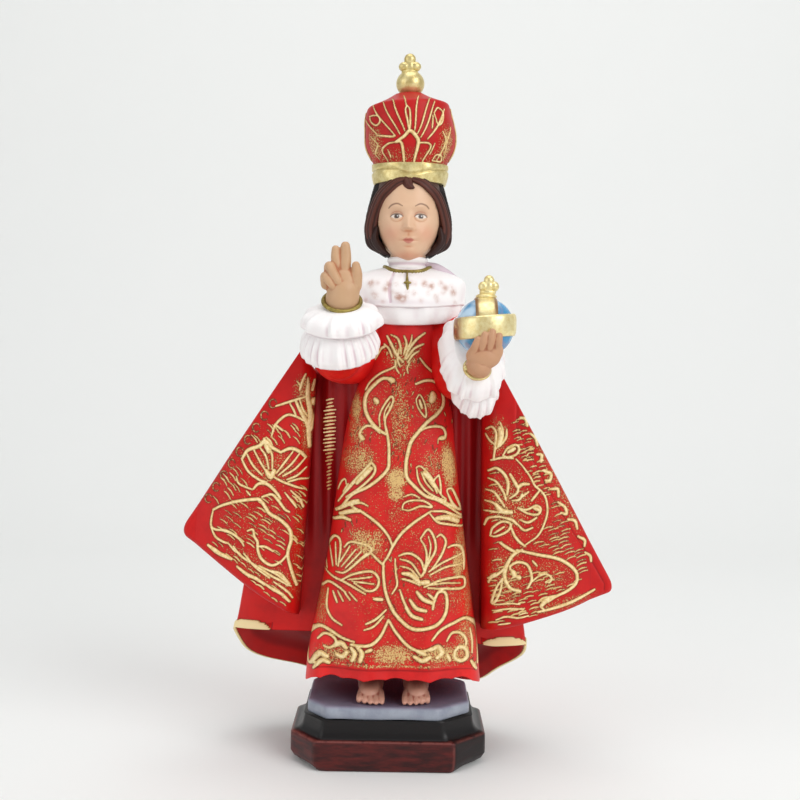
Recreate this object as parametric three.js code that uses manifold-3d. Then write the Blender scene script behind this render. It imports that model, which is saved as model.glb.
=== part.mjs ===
// Painted plaster statuette of a crowned child in a spread mantle, on a lacquered plinth.
// Millimetres, +Z up, front towards -Y, +X to the viewer's right.
import * as THREE from 'three';
import { mergeVertices } from 'three/addons/utils/BufferGeometryUtils.js';
import Module from 'manifold-3d';

const wasm = await Module();
wasm.setup();

// Plinth
const plinthWidth = 57;
const plinthDepth = 44;
const plinthBlockHeight = 9;
const plinthFootInset = 1.6;
const plinthEdgeRound = 1.2;
const plinthChamferLeft = 7.5;
const plinthChamferRight = 9.5;
const plinthChamferDepth = 10;
const coveHeight = 5;
const coveLip = 0.9;

// Slab under the feet, cast with the figure
const slabWidth = 47.4;
const slabDepth = 38;
const slabThickness = 3.5;
const slabChamferLeft = 6;
const slabChamferRight = 9;
const slabChamferDepth = 8;
const seatClearance = 0.3;

// Figure, from the slab's underside to the tip of the crown's cross
const figureHeight = 194.2;

// The free form is laid out on a carver's grid: the figure's height is gridHeight parts, and grid
// heights are counted from a datum gridDatum parts below the slab.
const gridHeight = 194.2;
const gridDatum = 14.3;
const part = figureHeight / gridHeight;
const slabBase = plinthBlockHeight + coveHeight + seatClearance;

function place(x, y, z) {
  return new THREE.Vector3(x * part, y * part, slabBase + (z - gridDatum) * part);
}

// Solids
function signedVolume(positions, index) {
  const a = new THREE.Vector3();
  const b = new THREE.Vector3();
  const c = new THREE.Vector3();
  let sum = 0;
  for (let i = 0; i < index.length; i += 3) {
    a.fromArray(positions, index[i] * 3);
    b.fromArray(positions, index[i + 1] * 3);
    c.fromArray(positions, index[i + 2] * 3);
    sum += a.dot(b.cross(c));
  }
  return sum;
}

function toSolid(geometry) {
  const bare = geometry.clone();
  bare.deleteAttribute('normal');
  bare.deleteAttribute('uv');
  const merged = mergeVertices(bare, 1e-5);
  const vertProperties = new Float32Array(merged.attributes.position.array);
  const triVerts = new Uint32Array(merged.index.array);
  if (signedVolume(vertProperties, triVerts) < 0) triVerts.reverse();
  return new wasm.Manifold(new wasm.Mesh({ numProp: 3, vertProperties, triVerts }));
}

function toGeometry(solid) {
  const mesh = solid.getMesh();
  const geometry = new THREE.BufferGeometry();
  geometry.setAttribute('position', new THREE.BufferAttribute(mesh.vertProperties, 3));
  geometry.setIndex(new THREE.BufferAttribute(mesh.triVerts, 1));
  geometry.computeVertexNormals();
  return geometry;
}

function joined(solids) {
  return solids.reduce((sum, solid) => sum.add(solid));
}

// A closed solid through rings of equal point count, closed by a fan at each end
function loft(rings) {
  const count = rings[0].length;
  const positions = [];
  const index = [];
  for (const ring of rings) for (const point of ring) positions.push(point.x, point.y, point.z);
  for (let r = 0; r + 1 < rings.length; r++) {
    for (let i = 0; i < count; i++) {
      const a = r * count + i;
      const b = r * count + ((i + 1) % count);
      index.push(a, b, b + count, a, b + count, a + count);
    }
  }
  for (const [ring, flip] of [[0, true], [rings.length - 1, false]]) {
    const centre = rings[ring].reduce((sum, p) => sum.add(p), new THREE.Vector3());
    centre.divideScalar(count);
    const hub = positions.length / 3;
    positions.push(centre.x, centre.y, centre.z);
    for (let i = 0; i < count; i++) {
      const a = ring * count + i;
      const b = ring * count + ((i + 1) % count);
      if (flip) index.push(hub, b, a);
      else index.push(hub, a, b);
    }
  }
  const geometry = new THREE.BufferGeometry();
  geometry.setAttribute('position', new THREE.Float32BufferAttribute(positions, 3));
  geometry.setIndex(index);
  return toSolid(geometry);
}

// A smooth function through [place, value] keys
function through(keys) {
  const slopes = keys.map((key, i) => {
    const before = keys[Math.max(0, i - 1)];
    const after = keys[Math.min(keys.length - 1, i + 1)];
    return (after[1] - before[1]) / (after[0] - before[0]);
  });
  return (at) => {
    let i = 0;
    while (i < keys.length - 2 && at > keys[i + 1][0]) i++;
    const span = keys[i + 1][0] - keys[i][0];
    const t = THREE.MathUtils.clamp((at - keys[i][0]) / span, 0, 1);
    const u = 1 - t;
    return keys[i][1] * (1 + 2 * t) * u * u + slopes[i] * span * t * u * u
      + keys[i + 1][1] * t * t * (3 - 2 * t) - slopes[i + 1] * span * t * t * u;
  };
}

// One point of an oval outline: four reaches from a centre, and a power of 2 for an ellipse
function ovalPoint(angle, shape) {
  const c = Math.cos(angle);
  const s = Math.sin(angle);
  const bend = 2 / (s > 0 && shape.backPower ? shape.backPower : shape.power);
  const reachX = c > 0 ? shape.right : shape.left;
  const reachY = s > 0 ? shape.back : shape.front;
  return [
    shape.x + Math.sign(c) * Math.abs(c) ** bend * reachX,
    shape.y + Math.sign(s) * Math.abs(s) ** bend * reachY,
  ];
}

function ovalRing(height, shape, sides) {
  return Array.from({ length: sides }, (_, i) => {
    const angle = (2 * Math.PI * i) / sides;
    const [x, y] = ovalPoint(angle, shape);
    const grow = 1 + (shape.flute ? shape.flute(angle) : 0);
    const rise = shape.rise ? shape.rise(angle) : 0;
    return place(shape.x + (x - shape.x) * grow, shape.y + (y - shape.y) * grow, height + rise);
  });
}

function ovalLoft(heights, shapeAt, sides) {
  return loft(heights.map((height) => ovalRing(height, shapeAt(height), sides)));
}

function ball(x, y, z, rx, ry, rz, sides = 8, rings = 5) {
  const geometry = new THREE.SphereGeometry(1, sides, rings);
  geometry.scale(rx * part, ry * part, rz * part);
  const centre = place(x, y, z);
  geometry.translate(centre.x, centre.y, centre.z);
  return toSolid(geometry);
}

// A limb: rings across a smooth path of grid points [x, y, z, radius], with domed ends
const domeReach = 0.7;

function limb(stations, sides = 5, steps = 2) {
  const path = new THREE.CatmullRomCurve3(stations.map(([x, y, z]) => place(x, y, z)));
  const radius = through(stations.map((s, i) => [i / (stations.length - 1), s[3] * part]));
  const rings = [];
  const ring = (centre, along, r) => {
    const side = new THREE.Vector3(0, 1, 0).cross(along);
    if (side.lengthSq() < 0.05) side.set(1, 0, 0);
    side.normalize();
    const up = along.clone().cross(side).normalize();
    return Array.from({ length: sides }, (_, i) => {
      const angle = (2 * Math.PI * i) / sides;
      return centre.clone()
        .addScaledVector(side, r * Math.cos(angle))
        .addScaledVector(up, r * Math.sin(angle));
    });
  };
  const dome = (at, way) => {
    const along = path.getTangent(at);
    const r = radius(at);
    const centre = path.getPoint(at).addScaledVector(along, way * r * domeReach);
    return ring(centre, along, r * Math.sqrt(1 - domeReach ** 2));
  };
  rings.push(dome(0, -1));
  for (let i = 0; i <= steps; i++) {
    rings.push(ring(path.getPoint(i / steps), path.getTangent(i / steps), radius(i / steps)));
  }
  rings.push(dome(1, 1));
  return loft(rings);
}

// A prism along X whose outline is given in grid [y, z]
function prismAlongX(outline, fromX, toX) {
  return loft([fromX, toX].map((x) => outline.map(([y, z]) => place(x, y, z))));
}

// Robe: a flattened bell, its edges turning into the deep folds beside it
const robeLevels = [25.5, 28, 42, 62, 86, 108, 130];
const robeLeft = through([
  [25, -24], [40, -22.4], [60, -18.9], [75, -17], [92, -14.8], [104, -12.5], [116, -9], [130, -6],
]);
const robeRight = through([
  [25, 27.2], [40, 25.4], [60, 22.6], [75, 20.6], [92, 18.6], [104, 17.2], [116, 14], [130, 13],
]);
const robeFront = through([[25, -22.5], [45, -20.5], [70, -18.5], [100, -17.5], [130, -15.5]]);
const robeBack = 8;
const robePower = 2.8;
const robeCore = -2;
const robeSides = 24;
const waveTop = 60;
const waveDepth = 0.9;
const wavePace = 0.36;
const hemWave = 0.7;
const robeHollow = { x: 1.5, y: -6, left: 20, right: 20, front: 12, back: 9, power: 2.4 };
const robeHollowTop = 29;

function robeWave(x, z) {
  const fade = THREE.MathUtils.clamp((waveTop - z) / 35, 0, 1);
  return waveDepth * fade * Math.sin(x * wavePace + 0.6);
}

function robeY(x, z) {
  const middle = (robeLeft(z) + robeRight(z)) / 2;
  const half = (robeRight(z) - robeLeft(z)) / 2;
  const share = Math.min(0.98, Math.abs(x - middle) / half);
  const depth = (1 - share ** robePower) ** (1 / robePower);
  return robeCore + (robeFront(z) - robeCore) * depth + robeWave(x, z);
}

function robe() {
  const hemLevel = robeLevels[0];
  const body = loft(robeLevels.map((z) => {
    const half = (robeRight(z) - robeLeft(z)) / 2;
    const shape = {
      x: robeLeft(z) + half,
      y: robeCore,
      left: half,
      right: half,
      front: robeCore - robeFront(z),
      back: robeBack,
      power: robePower,
    };
    return Array.from({ length: robeSides }, (_, i) => {
      const [x, y] = ovalPoint((2 * Math.PI * i) / robeSides, shape);
      const hem = z === hemLevel ? hemWave * Math.sin(x * wavePace) : 0;
      return place(x, y < robeCore ? y + robeWave(x, z) : y, z + hem);
    });
  }));
  const hollow = ovalLoft([hemLevel - 5, robeHollowTop], () => robeHollow, 14);
  return body.subtract(hollow);
}

// Mantle: the back bell, its hem dropping to the rear, closed below by a sloping underside
const mantleHemFront = 35.5;
const mantleHemBack = 14.2;
const mantleFoldY = 3;
const mantleBackY = 27;
const mantleLevels = [6, 34, 50, 74, 100, 120, 134, 142];
const mantleLeft = through([
  [8, -46.5], [33, -47.4], [40, -46.2], [55, -43.5], [75, -38], [95, -31], [112, -25], [124, -19],
  [134, -12], [142, -4],
]);
const mantleRight = through([
  [8, 40.6], [33, 41.3], [40, 40.4], [60, 38.5], [80, 36], [100, 31], [112, 27], [124, 24],
  [134, 19], [142, 11],
]);
const mantleBack = through([[8, 28], [33, 27], [60, 24], [90, 20], [115, 17], [130, 14], [142, 9]]);
const mantleFront = through([[8, -1], [60, -3], [100, -7], [124, -9], [142, -6]]);
const mantleCoreY = 4;
const mantleSides = 32;
const backFolds = 7;
const backFoldDepth = 0.07;
const hemBand = 2.6;
const hemBandProud = 0.6;

function mantleShape(z, extra = 0) {
  const half = (mantleRight(z) - mantleLeft(z)) / 2;
  const depth = THREE.MathUtils.clamp((125 - z) / 90, 0, 1) * backFoldDepth;
  const flute = (angle) => depth * Math.max(0, Math.sin(angle)) * Math.cos(backFolds * angle);
  return {
    x: mantleLeft(z) + half,
    y: mantleCoreY,
    left: half + extra,
    right: half + extra,
    front: mantleCoreY - mantleFront(z) + extra,
    back: mantleBack(z) - mantleCoreY + extra,
    power: 2.5,
    backPower: 2,
    flute,
  };
}

function hemCut(rise) {
  const slope = (mantleHemFront - mantleHemBack) / (mantleBackY - mantleFoldY);
  const reach = 90;
  const top = mantleHemFront + rise;
  const outline = [
    [-reach, top],
    [mantleFoldY, top],
    [reach, top - slope * (reach - mantleFoldY)],
    [reach, -reach],
    [-reach, -reach],
  ];
  return prismAlongX(outline, -reach, reach);
}

function mantle() {
  const hemLevels = mantleLevels.slice(0, 3);
  const bell = ovalLoft(mantleLevels, (z) => mantleShape(z), mantleSides).subtract(hemCut(0));
  const rim = ovalLoft(hemLevels, (z) => mantleShape(z, hemBandProud), mantleSides)
    .intersect(hemCut(hemBand))
    .subtract(hemCut(0));
  return bell.add(rim);
}

// Wings: the front panels of the mantle, spread over the forearms
const wings = {
  left: {
    side: -1,
    innerTop: [-22.6, 113],
    innerBottom: [-25.6, 44.2],
    outerTop: [-26.8, 119.8],
    corner: [-61.8, 66.4],
    edgeBulge: 0,
    hemSag: 1.7,
  },
  right: {
    side: 1,
    innerTop: [26, 108],
    innerBottom: [27, 38.4],
    outerTop: [31, 114.2],
    corner: [66.2, 51],
    edgeBulge: 2.8,
    hemSag: 0.7,
  },
};
const wingFaceY = -11;
const wingBelly = 4.6;
const wingBellyReach = 36;
const wingTurn = 5;
const wingTurnReach = 4;
const wingCorner = 0.1;
const wingCornerPower = 2.4;
const wingRoot = 24;
const wingEdge = 5.5;
const wingEdgeRound = 0.9;
const wingColumns = 5;
const wingRows = 7;

function wingY(wing, x, z) {
  const t = (wing.innerTop[1] - z) / (wing.innerTop[1] - wing.innerBottom[1]);
  const inner = THREE.MathUtils.lerp(wing.innerTop[0], wing.innerBottom[0], t);
  const away = Math.max(0, (x - inner) * wing.side);
  const turn = Math.max(0, 1 - away / wingTurnReach) ** 2;
  const belly = Math.sin(Math.PI * Math.min(1, away / wingBellyReach + 0.12));
  return wingFaceY - wingBelly * belly + wingTurn * turn;
}

// A point of a wing's face: s runs from its fold to its edge, t from its top to its hem
function wingPoint(wing, s, t) {
  const edge = 1 - wingCorner;
  const a = (s - edge) / wingCorner;
  const b = (t - edge) / wingCorner;
  if (a > 0 && b > 0) {
    const radius = (a ** wingCornerPower + b ** wingCornerPower) ** (1 / wingCornerPower);
    const shrink = Math.max(a, b) / radius;
    s = edge + wingCorner * a * shrink;
    t = edge + wingCorner * b * shrink;
  }
  const lerp = THREE.MathUtils.lerp;
  const innerX = lerp(wing.innerTop[0], wing.innerBottom[0], t);
  const innerZ = lerp(wing.innerTop[1], wing.innerBottom[1], t);
  const bulge = wing.edgeBulge * Math.sin(Math.PI * t);
  const outerX = lerp(wing.outerTop[0], wing.corner[0], t) + wing.side * bulge * 0.87;
  const outerZ = lerp(wing.outerTop[1], wing.corner[1], t) + bulge * 0.5;
  const sag = wing.hemSag * Math.sin(Math.PI * s) * t;
  return [lerp(innerX, outerX, s), lerp(innerZ, outerZ, s) - sag];
}

function wingPanel(wing) {
  const rings = [];
  for (let j = 0; j <= wingRows; j++) {
    const t = 1 - (1 - j / wingRows) ** 1.15;
    const front = [];
    const back = [];
    for (let i = 0; i <= wingColumns; i++) {
      const s = i / wingColumns;
      const [x, z] = wingPoint(wing, s, t);
      const y = wingY(wing, x, z);
      const thick = THREE.MathUtils.lerp(wingRoot, wingEdge, s ** 0.8);
      const round = wingEdgeRound * Math.max(0, (s - 0.86) / 0.14) ** 2;
      front.push(place(x, y + round, z));
      back.push(place(x, y + thick - round, z));
    }
    rings.push([...front, ...back.reverse()]);
  }
  return loft(rings);
}

// Low gilt ridges of the embroidery, three-sided, laid on a surface y = f(x, z)
const ridgeHeight = 0.6;
const ridgeStep = 8.4;
const ridgeSunk = 0.35;
const stemWidth = 1.6;
const petalWidth = 2.2;

function ridge(surface, points, width) {
  const path = new THREE.CatmullRomCurve3(points.map(([x, z]) => new THREE.Vector3(x, 0, z)));
  const steps = Math.max(2, Math.round(path.getLength() / ridgeStep));
  const rings = [];
  for (let i = 0; i <= steps; i++) {
    const t = i / steps;
    const p = path.getPointAt(t);
    const along = path.getTangentAt(t);
    const taper = 0.25 + 0.75 * Math.sin(Math.PI * THREE.MathUtils.clamp(t, 0.04, 0.96)) ** 0.5;
    const half = (width / 2) * taper;
    const foot = (side) => {
      const x = p.x + side * half * along.z;
      const z = p.z - side * half * along.x;
      return place(x, surface(x, z) + ridgeSunk, z);
    };
    const crest = place(p.x, surface(p.x, p.z) - ridgeHeight * taper, p.z);
    rings.push([foot(-1), crest, foot(1)]);
  }
  return loft(rings);
}

// A spray of petals round a centre
function spray(surface, [x, z], reach, petals, start, sweep) {
  return Array.from({ length: petals }, (_, i) => {
    const angle = THREE.MathUtils.degToRad(start + (sweep * i) / (petals - 1));
    const bend = angle + 0.35;
    const near = [x + reach * 0.22 * Math.cos(angle), z + reach * 0.22 * Math.sin(angle)];
    const mid = [x + reach * 0.62 * Math.cos(angle), z + reach * 0.62 * Math.sin(angle)];
    const tip = [x + reach * Math.cos(bend), z + reach * Math.sin(bend)];
    return ridge(surface, [near, mid, tip], petalWidth);
  });
}

function robeEmbroidery() {
  const middle = 2;
  const mirrored = [-1, 1].flatMap((side) => {
    const at = (x, z) => [middle + side * x, z];
    const scroll = [
      at(3, 112.5), at(10.6, 110), at(10.6, 101), at(4.4, 93), at(3.6, 85), at(9, 79.5), at(15, 76),
    ];
    return [
      ridge(robeY, scroll, stemWidth),
      ridge(robeY, [at(1.6, 115), at(6.5, 123)], stemWidth),
      ridge(robeY, [at(12, 73), at(0.5, 63.5)], stemWidth),
    ];
  });
  const loop = [[-0.5, 60], [-0.6, 51], [8, 39.5], [16.5, 44], [13.5, 50.5]];
  const tent = [[-20.5, 39], [-14, 40.5], [-6, 36.5], [0, 42], [7, 35.5], [20, 37]];
  return [
    ...mirrored,
    ridge(robeY, loop, stemWidth),
    ridge(robeY, tent, stemWidth),
    ...spray(robeY, [10.5, 57], 9.5, 4, -10, 210),
    ...spray(robeY, [-12, 57.5], 9, 4, 20, 220),
  ];
}

function wingEmbroidery() {
  const onLeft = (x, z) => wingY(wings.left, x, z);
  const onRight = (x, z) => wingY(wings.right, x, z);
  return [
    ridge(onLeft, [[-27.5, 112], [-25, 102], [-26, 91]], stemWidth),
    ridge(onLeft, [[-51, 71], [-39, 75], [-32.5, 68], [-30, 55]], stemWidth),
    ridge(onLeft, [[-55.5, 65], [-32, 50]], stemWidth),
    ...spray(onLeft, [-35, 85], 9.5, 4, -20, 270),
    ridge(onRight, [[31, 103], [33, 90], [42, 78], [34, 63]], stemWidth),
    ridge(onRight, [[36, 64], [50, 59], [50, 53], [42, 48.5]], stemWidth),
    ...spray(onRight, [33, 76], 9, 4, 80, 210),
  ];
}

// Frilled cuff: a flared ring round an axis, with flutes that deepen to its edge. Its stations
// are [distance down the axis, radius, flute depth].
function frill(spec) {
  const axis = new THREE.Vector3(...spec.axis).normalize();
  const across = new THREE.Vector3(0, 0, 1).cross(axis).lengthSq() < 0.05
    ? new THREE.Vector3(1, 0, 0)
    : new THREE.Vector3(0, 0, 1).cross(axis).normalize();
  const over = axis.clone().cross(across).normalize();
  const sides = spec.flutes * 2;
  const rings = spec.stations.map(([along, radius, wave]) => {
    return Array.from({ length: sides }, (_, i) => {
      const angle = (2 * Math.PI * i) / sides;
      const r = radius + wave * Math.cos(spec.flutes * angle);
      const a = across.clone().multiplyScalar(r * Math.cos(angle) * spec.wide);
      const b = over.clone().multiplyScalar(r * Math.sin(angle) * spec.tall);
      const p = a.add(b).addScaledVector(axis, -along + wave * 0.5 * Math.cos(spec.flutes * angle));
      return place(spec.at[0] + p.x, spec.at[1] + p.y, spec.at[2] + p.z);
    });
  });
  return loft(rings);
}

const blessingAxis = [0.05, -0.55, 0.83];
const holdingAxis = [0.12, -0.86, 0.5];

function cuffs() {
  return [
    {
      at: [-15, -28, 131.5], axis: blessingAxis, wide: 1, tall: 0.95, flutes: 9,
      stations: [[0, 5.2, 0], [1.5, 7.6, 0.2], [4.5, 9.2, 0.45], [6.7, 9.6, 0.6]],
    },
    {
      at: [-15, -25, 126], axis: blessingAxis, wide: 1, tall: 0.95, flutes: 10,
      stations: [[0, 7.6, 0], [3.5, 9.9, 0.4], [8.7, 11, 0.7]],
    },
    {
      at: [22.2, -31, 113.6], axis: holdingAxis, wide: 0.8, tall: 1, flutes: 9,
      stations: [[0, 4.6, 0], [2, 7.2, 0.2], [5, 9.8, 0.5]],
    },
    {
      at: [20.6, -27, 118], axis: holdingAxis, wide: 0.74, tall: 1.14, flutes: 10,
      stations: [[0, 9, 0.1], [3.5, 11.4, 0.4], [8.3, 12.6, 0.6]],
    },
  ].map(frill);
}

function sleeves() {
  const blessing = [[-3, 1, 128, 11], [-11, -6, 121, 10.5], [-15.5, -17, 118, 9.6], [-15, -23, 121, 8.5]];
  const holding = [[11, 1, 127, 10.5], [18, -6, 119, 10], [20.5, -16, 113.6, 9.6], [21, -24, 113.6, 8.4]];
  return [blessing, holding].map((stations) => limb(stations, 10, 3));
}

// Hands: the first is raised in blessing, the other holds the orb from below
function hands() {
  return [
    limb([[-14.8, -23, 126, 4.2], [-14.6, -26.5, 133, 4.3], [-14.4, -28, 138, 5]], 8, 2),
    ball(-14.6, -28.2, 138.8, 5.3, 4, 5.2, 9, 5),
    limb([[-12.8, -28.4, 141, 2.1], [-13.1, -28.8, 145, 1.9], [-13.6, -29, 148.4, 1.6]]),
    limb([[-16, -28.4, 141, 2.1], [-16.2, -28.8, 144.5, 1.9], [-16.5, -29, 147.4, 1.6]]),
    limb([[-10.9, -28.4, 137.5, 2.2], [-10.3, -29.6, 141, 1.9], [-10.5, -30.2, 143.1, 1.5]]),
    limb([[-17.8, -28.2, 140.6, 2.1], [-17.6, -30.4, 141.2, 2], [-15.6, -31, 138.8, 1.7]]),
    limb([[-18.6, -28.2, 137.8, 1.9], [-18.2, -30.2, 138, 1.9], [-16.4, -30.8, 136.2, 1.6]]),
    limb([[20.6, -26, 111, 4], [21.8, -33, 113, 4.1], [23, -37, 116.4, 4.6]], 8, 2),
    ball(24.2, -36.6, 117.8, 5.4, 3.6, 4.4, 9, 5),
    ...[0, 1, 2, 3].map((i) => {
      const x = 20.4 + 2.45 * i;
      const tip = 123.6 - 1.1 * Math.abs(i - 2) ** 1.3;
      return limb([
        [x + 0.4, -37.8, 117.5, 1.9],
        [x + 0.2, -39.9, 120.4, 1.65],
        [x + 0.3, -39.8, tip, 1.35],
      ]);
    }),
    limb([[28, -34, 117, 2], [31.6, -31, 120, 1.8], [32.6, -28, 123.5, 1.5]]),
  ];
}

// Orb: a globe with two crossing bands and a small three-lobed cross
const orbBandHalf = 2.6;
const orbBandProud = 0.6;

function orb() {
  const [x, y, z, r] = [24.9, -30, 126.8, 8.2];
  const bandRing = (spin) => {
    const inner = r - 1.5;
    const outer = r + orbBandProud;
    const profile = [
      [inner, -orbBandHalf], [outer, -orbBandHalf], [outer, orbBandHalf], [inner, orbBandHalf],
    ];
    const points = [...profile, profile[0]].map(([a, b]) => new THREE.Vector2(a * part, b * part));
    const geometry = new THREE.LatheGeometry(points, 12);
    geometry.rotateX(Math.PI / 2);
    geometry.rotateY(spin);
    const centre = place(x, y, z);
    geometry.translate(centre.x, centre.y, centre.z);
    return toSolid(geometry);
  };
  return [
    ball(x, y, z, r, r, r, 12, 7),
    bandRing(0.08),
    bandRing(Math.PI / 2),
    ball(x + 0.3, y, z + r + 0.4, 2.3, 2.3, 1.1, 8, 4),
    ball(x + 0.9, y, z + r + 4.6, 1.6, 1.3, 1.6, 6, 4),
    ball(x - 0.6, y, z + r + 2.7, 1.6, 1.3, 1.5, 6, 4),
    ball(x + 2.1, y, z + r + 2.9, 1.6, 1.3, 1.5, 6, 4),
  ];
}

// Collar: a short fur cape, with a fluted frill under it
const collarMiddle = 3.6;
const collarWide = through([
  [126, 12], [129, 14.6], [134, 16], [139, 16.4], [142, 14], [145, 8.6], [147, 6.6],
]);
const collarFront = through([
  [126, 15], [129, 16.6], [134, 15.8], [139, 13.8], [142, 11.6], [145, 8], [147, 6.8],
]);
const collarBack = through([
  [126, 14], [134, 14.5], [139, 13], [142, 11], [145, 7.6], [147, 6.2],
]);
const collarRise = 1.6;
const frillFlutes = 17;
const capeFlutes = 12;
const capeProud = 0.9;

function collar() {
  const tier = (heights, grow, flutes, depth) => ovalLoft(heights, (z) => ({
    x: collarMiddle,
    y: -1,
    left: collarWide(z) + grow,
    right: collarWide(z) + grow,
    front: collarFront(z) + grow,
    back: collarBack(z) + grow,
    power: 2.15,
    flute: (angle) => depth * Math.cos(flutes * angle),
    rise: (angle) => (z < 140 ? collarRise * Math.cos(angle) ** 2 : 0),
  }), 2 * flutes);
  const stand = { x: collarMiddle, y: -1.5, left: 6, right: 6, front: 6.6, back: 6, power: 2 };
  return [
    tier([127.2, 130, 134.5], 0, frillFlutes, 0.03),
    tier([132.4, 135, 139.5, 142.5, 145], capeProud, capeFlutes, 0.012),
    ovalLoft([141, 144, 147.4], () => stand, 16),
  ];
}

// Head: a calm child's face on plain proportions, and bobbed hair in locks
const headX = 3.7;
const headY = -1.6;
const chinLevel = 147.4;
const faceHeight = 23;
const faceWide = through([[0, 3.4], [0.12, 6], [0.35, 8.3], [0.6, 8.9], [1, 8.6]]);
const faceFront = through([
  [0, 8.2], [0.12, 9.6], [0.35, 10.4], [0.6, 10.2], [0.8, 10.3], [1, 9.4],
]);
const hairWide = through([
  [148.6, 7.8], [151, 10.6], [155, 12.9], [160, 12.8], [166, 11.4], [172, 9.4],
]);
const hairLocks = 15;
const hairLevels = [148.6, 151.5, 156, 164, 173];
const templeLevel = 163;

function faceLevel(share) {
  return chinLevel + faceHeight * share;
}

function face() {
  const skull = loft([-0.02, 0.04, 0.14, 0.3, 0.5, 0.75, 1].map((share) => ovalRing(
    faceLevel(share),
    {
      x: headX,
      y: headY,
      left: faceWide(share),
      right: faceWide(share),
      front: faceFront(share),
      back: 7,
      power: 2.1,
    },
    14,
  )));
  const nose = limb([
    [headX, headY - 9.6, faceLevel(0.53), 0.7],
    [headX, headY - 10.6, faceLevel(0.42), 0.95],
    [headX, headY - 11, faceLevel(0.35), 1.2],
  ], 6, 2);
  const mouth = ball(headX, headY - 9.5, faceLevel(0.2), 2, 0.9, 0.9, 7, 4);
  const lids = [-1, 1].map((side) => (
    ball(headX + side * 3.5, headY - 8.9, faceLevel(0.5), 1.7, 1.2, 0.95, 6, 4)
  ));
  return [skull, nose, mouth, ...lids];
}

function hair() {
  const cap = ovalLoft(hairLevels, (z) => ({
    x: headX,
    y: 1.4,
    left: hairWide(z),
    right: hairWide(z),
    front: z < templeLevel ? 7.2 : 11,
    back: 11.5,
    power: 2.5,
    flute: (angle) => 0.035 * Math.cos(hairLocks * angle + 0.12 * (z - hairLevels[0])),
  }), hairLocks * 2);
  const fringe = [-1, 1].flatMap((side) => [0.2, 0.9].map((lean) => limb([
    [headX + side * (0.6 + 1.6 * lean), headY - 9.2 + 0.6 * lean, 171.5, 1.3],
    [headX + side * (2.4 + 3.4 * lean), headY - 9.4 + 1.6 * lean, 168.6 - 0.6 * lean, 1.35],
    [headX + side * (4.4 + 3.6 * lean), headY - 8 + 2.6 * lean, 167 - 3.6 * lean, 0.7],
  ])));
  const forelock = limb([
    [headX, headY - 9.2, 171, 1.3],
    [headX + 0.2, headY - 10.1, 168.4, 1.2],
    [headX + 0.6, headY - 9.9, 166.4, 0.5],
  ]);
  return [cap, ...fringe, forelock];
}

function neck() {
  return limb([[headX, -1.5, 140, 5.6], [headX, -1.5, 150, 5.4]], 12, 1);
}

// Crown: a flared cap with a gold band, raised ribs, a ball and a small trefoil cross
const crownMiddle = 3.9;
const crownCoreY = 0.5;
const crownDeep = 0.92;
const crownRibs = 14;
const crownRibDepth = 0.03;
const crownBandLow = 169.4;
const crownBandHigh = 175.1;
const crownBandProud = 0.6;
const crownWide = through([
  [169, 10.2], [172, 10.6], [175.5, 11.1], [179, 12.7], [182, 13.4], [187, 13], [192, 12],
  [194.6, 8.6], [196.3, 4],
]);

function crownY(x, z) {
  const share = Math.min(0.97, Math.abs(x - crownMiddle) / crownWide(z));
  return crownCoreY - crownWide(z) * crownDeep * Math.sqrt(1 - share * share);
}

function crownShape(z, grow, ribDepth) {
  return {
    x: crownMiddle,
    y: crownCoreY,
    left: crownWide(z) + grow,
    right: crownWide(z) + grow,
    front: crownWide(z) * crownDeep + grow,
    back: crownWide(z) * crownDeep + grow,
    power: 2,
    rise: (angle) => (z <= 176 ? 0.5 * Math.cos(angle) ** 2 : 0),
    flute: (angle) => ribDepth * Math.cos(crownRibs * angle),
  };
}

function crown() {
  const cap = ovalLoft(
    [174, 182, 192, 194.6, 196.3],
    (z) => crownShape(z, 0, z > 176 ? crownRibDepth : 0),
    2 * crownRibs,
  );
  const band = ovalLoft(
    [crownBandLow, crownBandHigh],
    (z) => crownShape(z, crownBandProud, 0),
    20,
  );
  const arch = [-1, 1].map((side) => ridge(crownY, [
    [crownMiddle, 186],
    [crownMiddle + side * 3, 183.4],
    [crownMiddle + side * 2.4, 179],
    [crownMiddle + side * 1.4, 176.4],
  ], 1.1));
  const cross = [
    ball(3.6, 0, 199.4, 4.2, 4.2, 3.9, 11, 7),
    limb([[3.5, 0, 202, 1.9], [3.5, 0, 204, 1.3]], 8, 1),
    ball(1.6, 0, 204.4, 1.6, 1.2, 1.5, 7, 4),
    ball(5.3, 0, 204.5, 1.6, 1.2, 1.5, 7, 4),
    ball(3.4, 0, 206.6, 1.7, 1.3, 1.9, 7, 5),
  ];
  return [cap, band, ...arch, ...cross];
}

const footMiddles = [-5.6, 8];

function feet() {
  return footMiddles.map((x) => (
    limb([[x, -4, 31, 5], [x, -8, 22, 4.6], [x, -15, 19.8, 3.4]], 8, 2)
  ));
}

// Octagonal outlines with a deeper chamfer on one side
function octagon(width, depth, chamferLeft, chamferRight, chamferDepth, inset) {
  const w = width / 2 - inset;
  const d = depth / 2 - inset;
  return [
    [-w + chamferLeft, -d], [w - chamferRight, -d], [w, -d + chamferDepth], [w, d - chamferDepth],
    [w - chamferRight, d], [-w + chamferLeft, d], [-w, d - chamferDepth], [-w, -d + chamferDepth],
  ];
}

function stack(levels) {
  return loft(levels.map(([z, outline]) => outline.map(([x, y]) => new THREE.Vector3(x, y, z))));
}

function slabOutline(inset) {
  return octagon(slabWidth, slabDepth, slabChamferLeft, slabChamferRight, slabChamferDepth, inset);
}

function plinthOutline(inset) {
  return octagon(
    plinthWidth, plinthDepth, plinthChamferLeft, plinthChamferRight, plinthChamferDepth, inset,
  );
}

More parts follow.
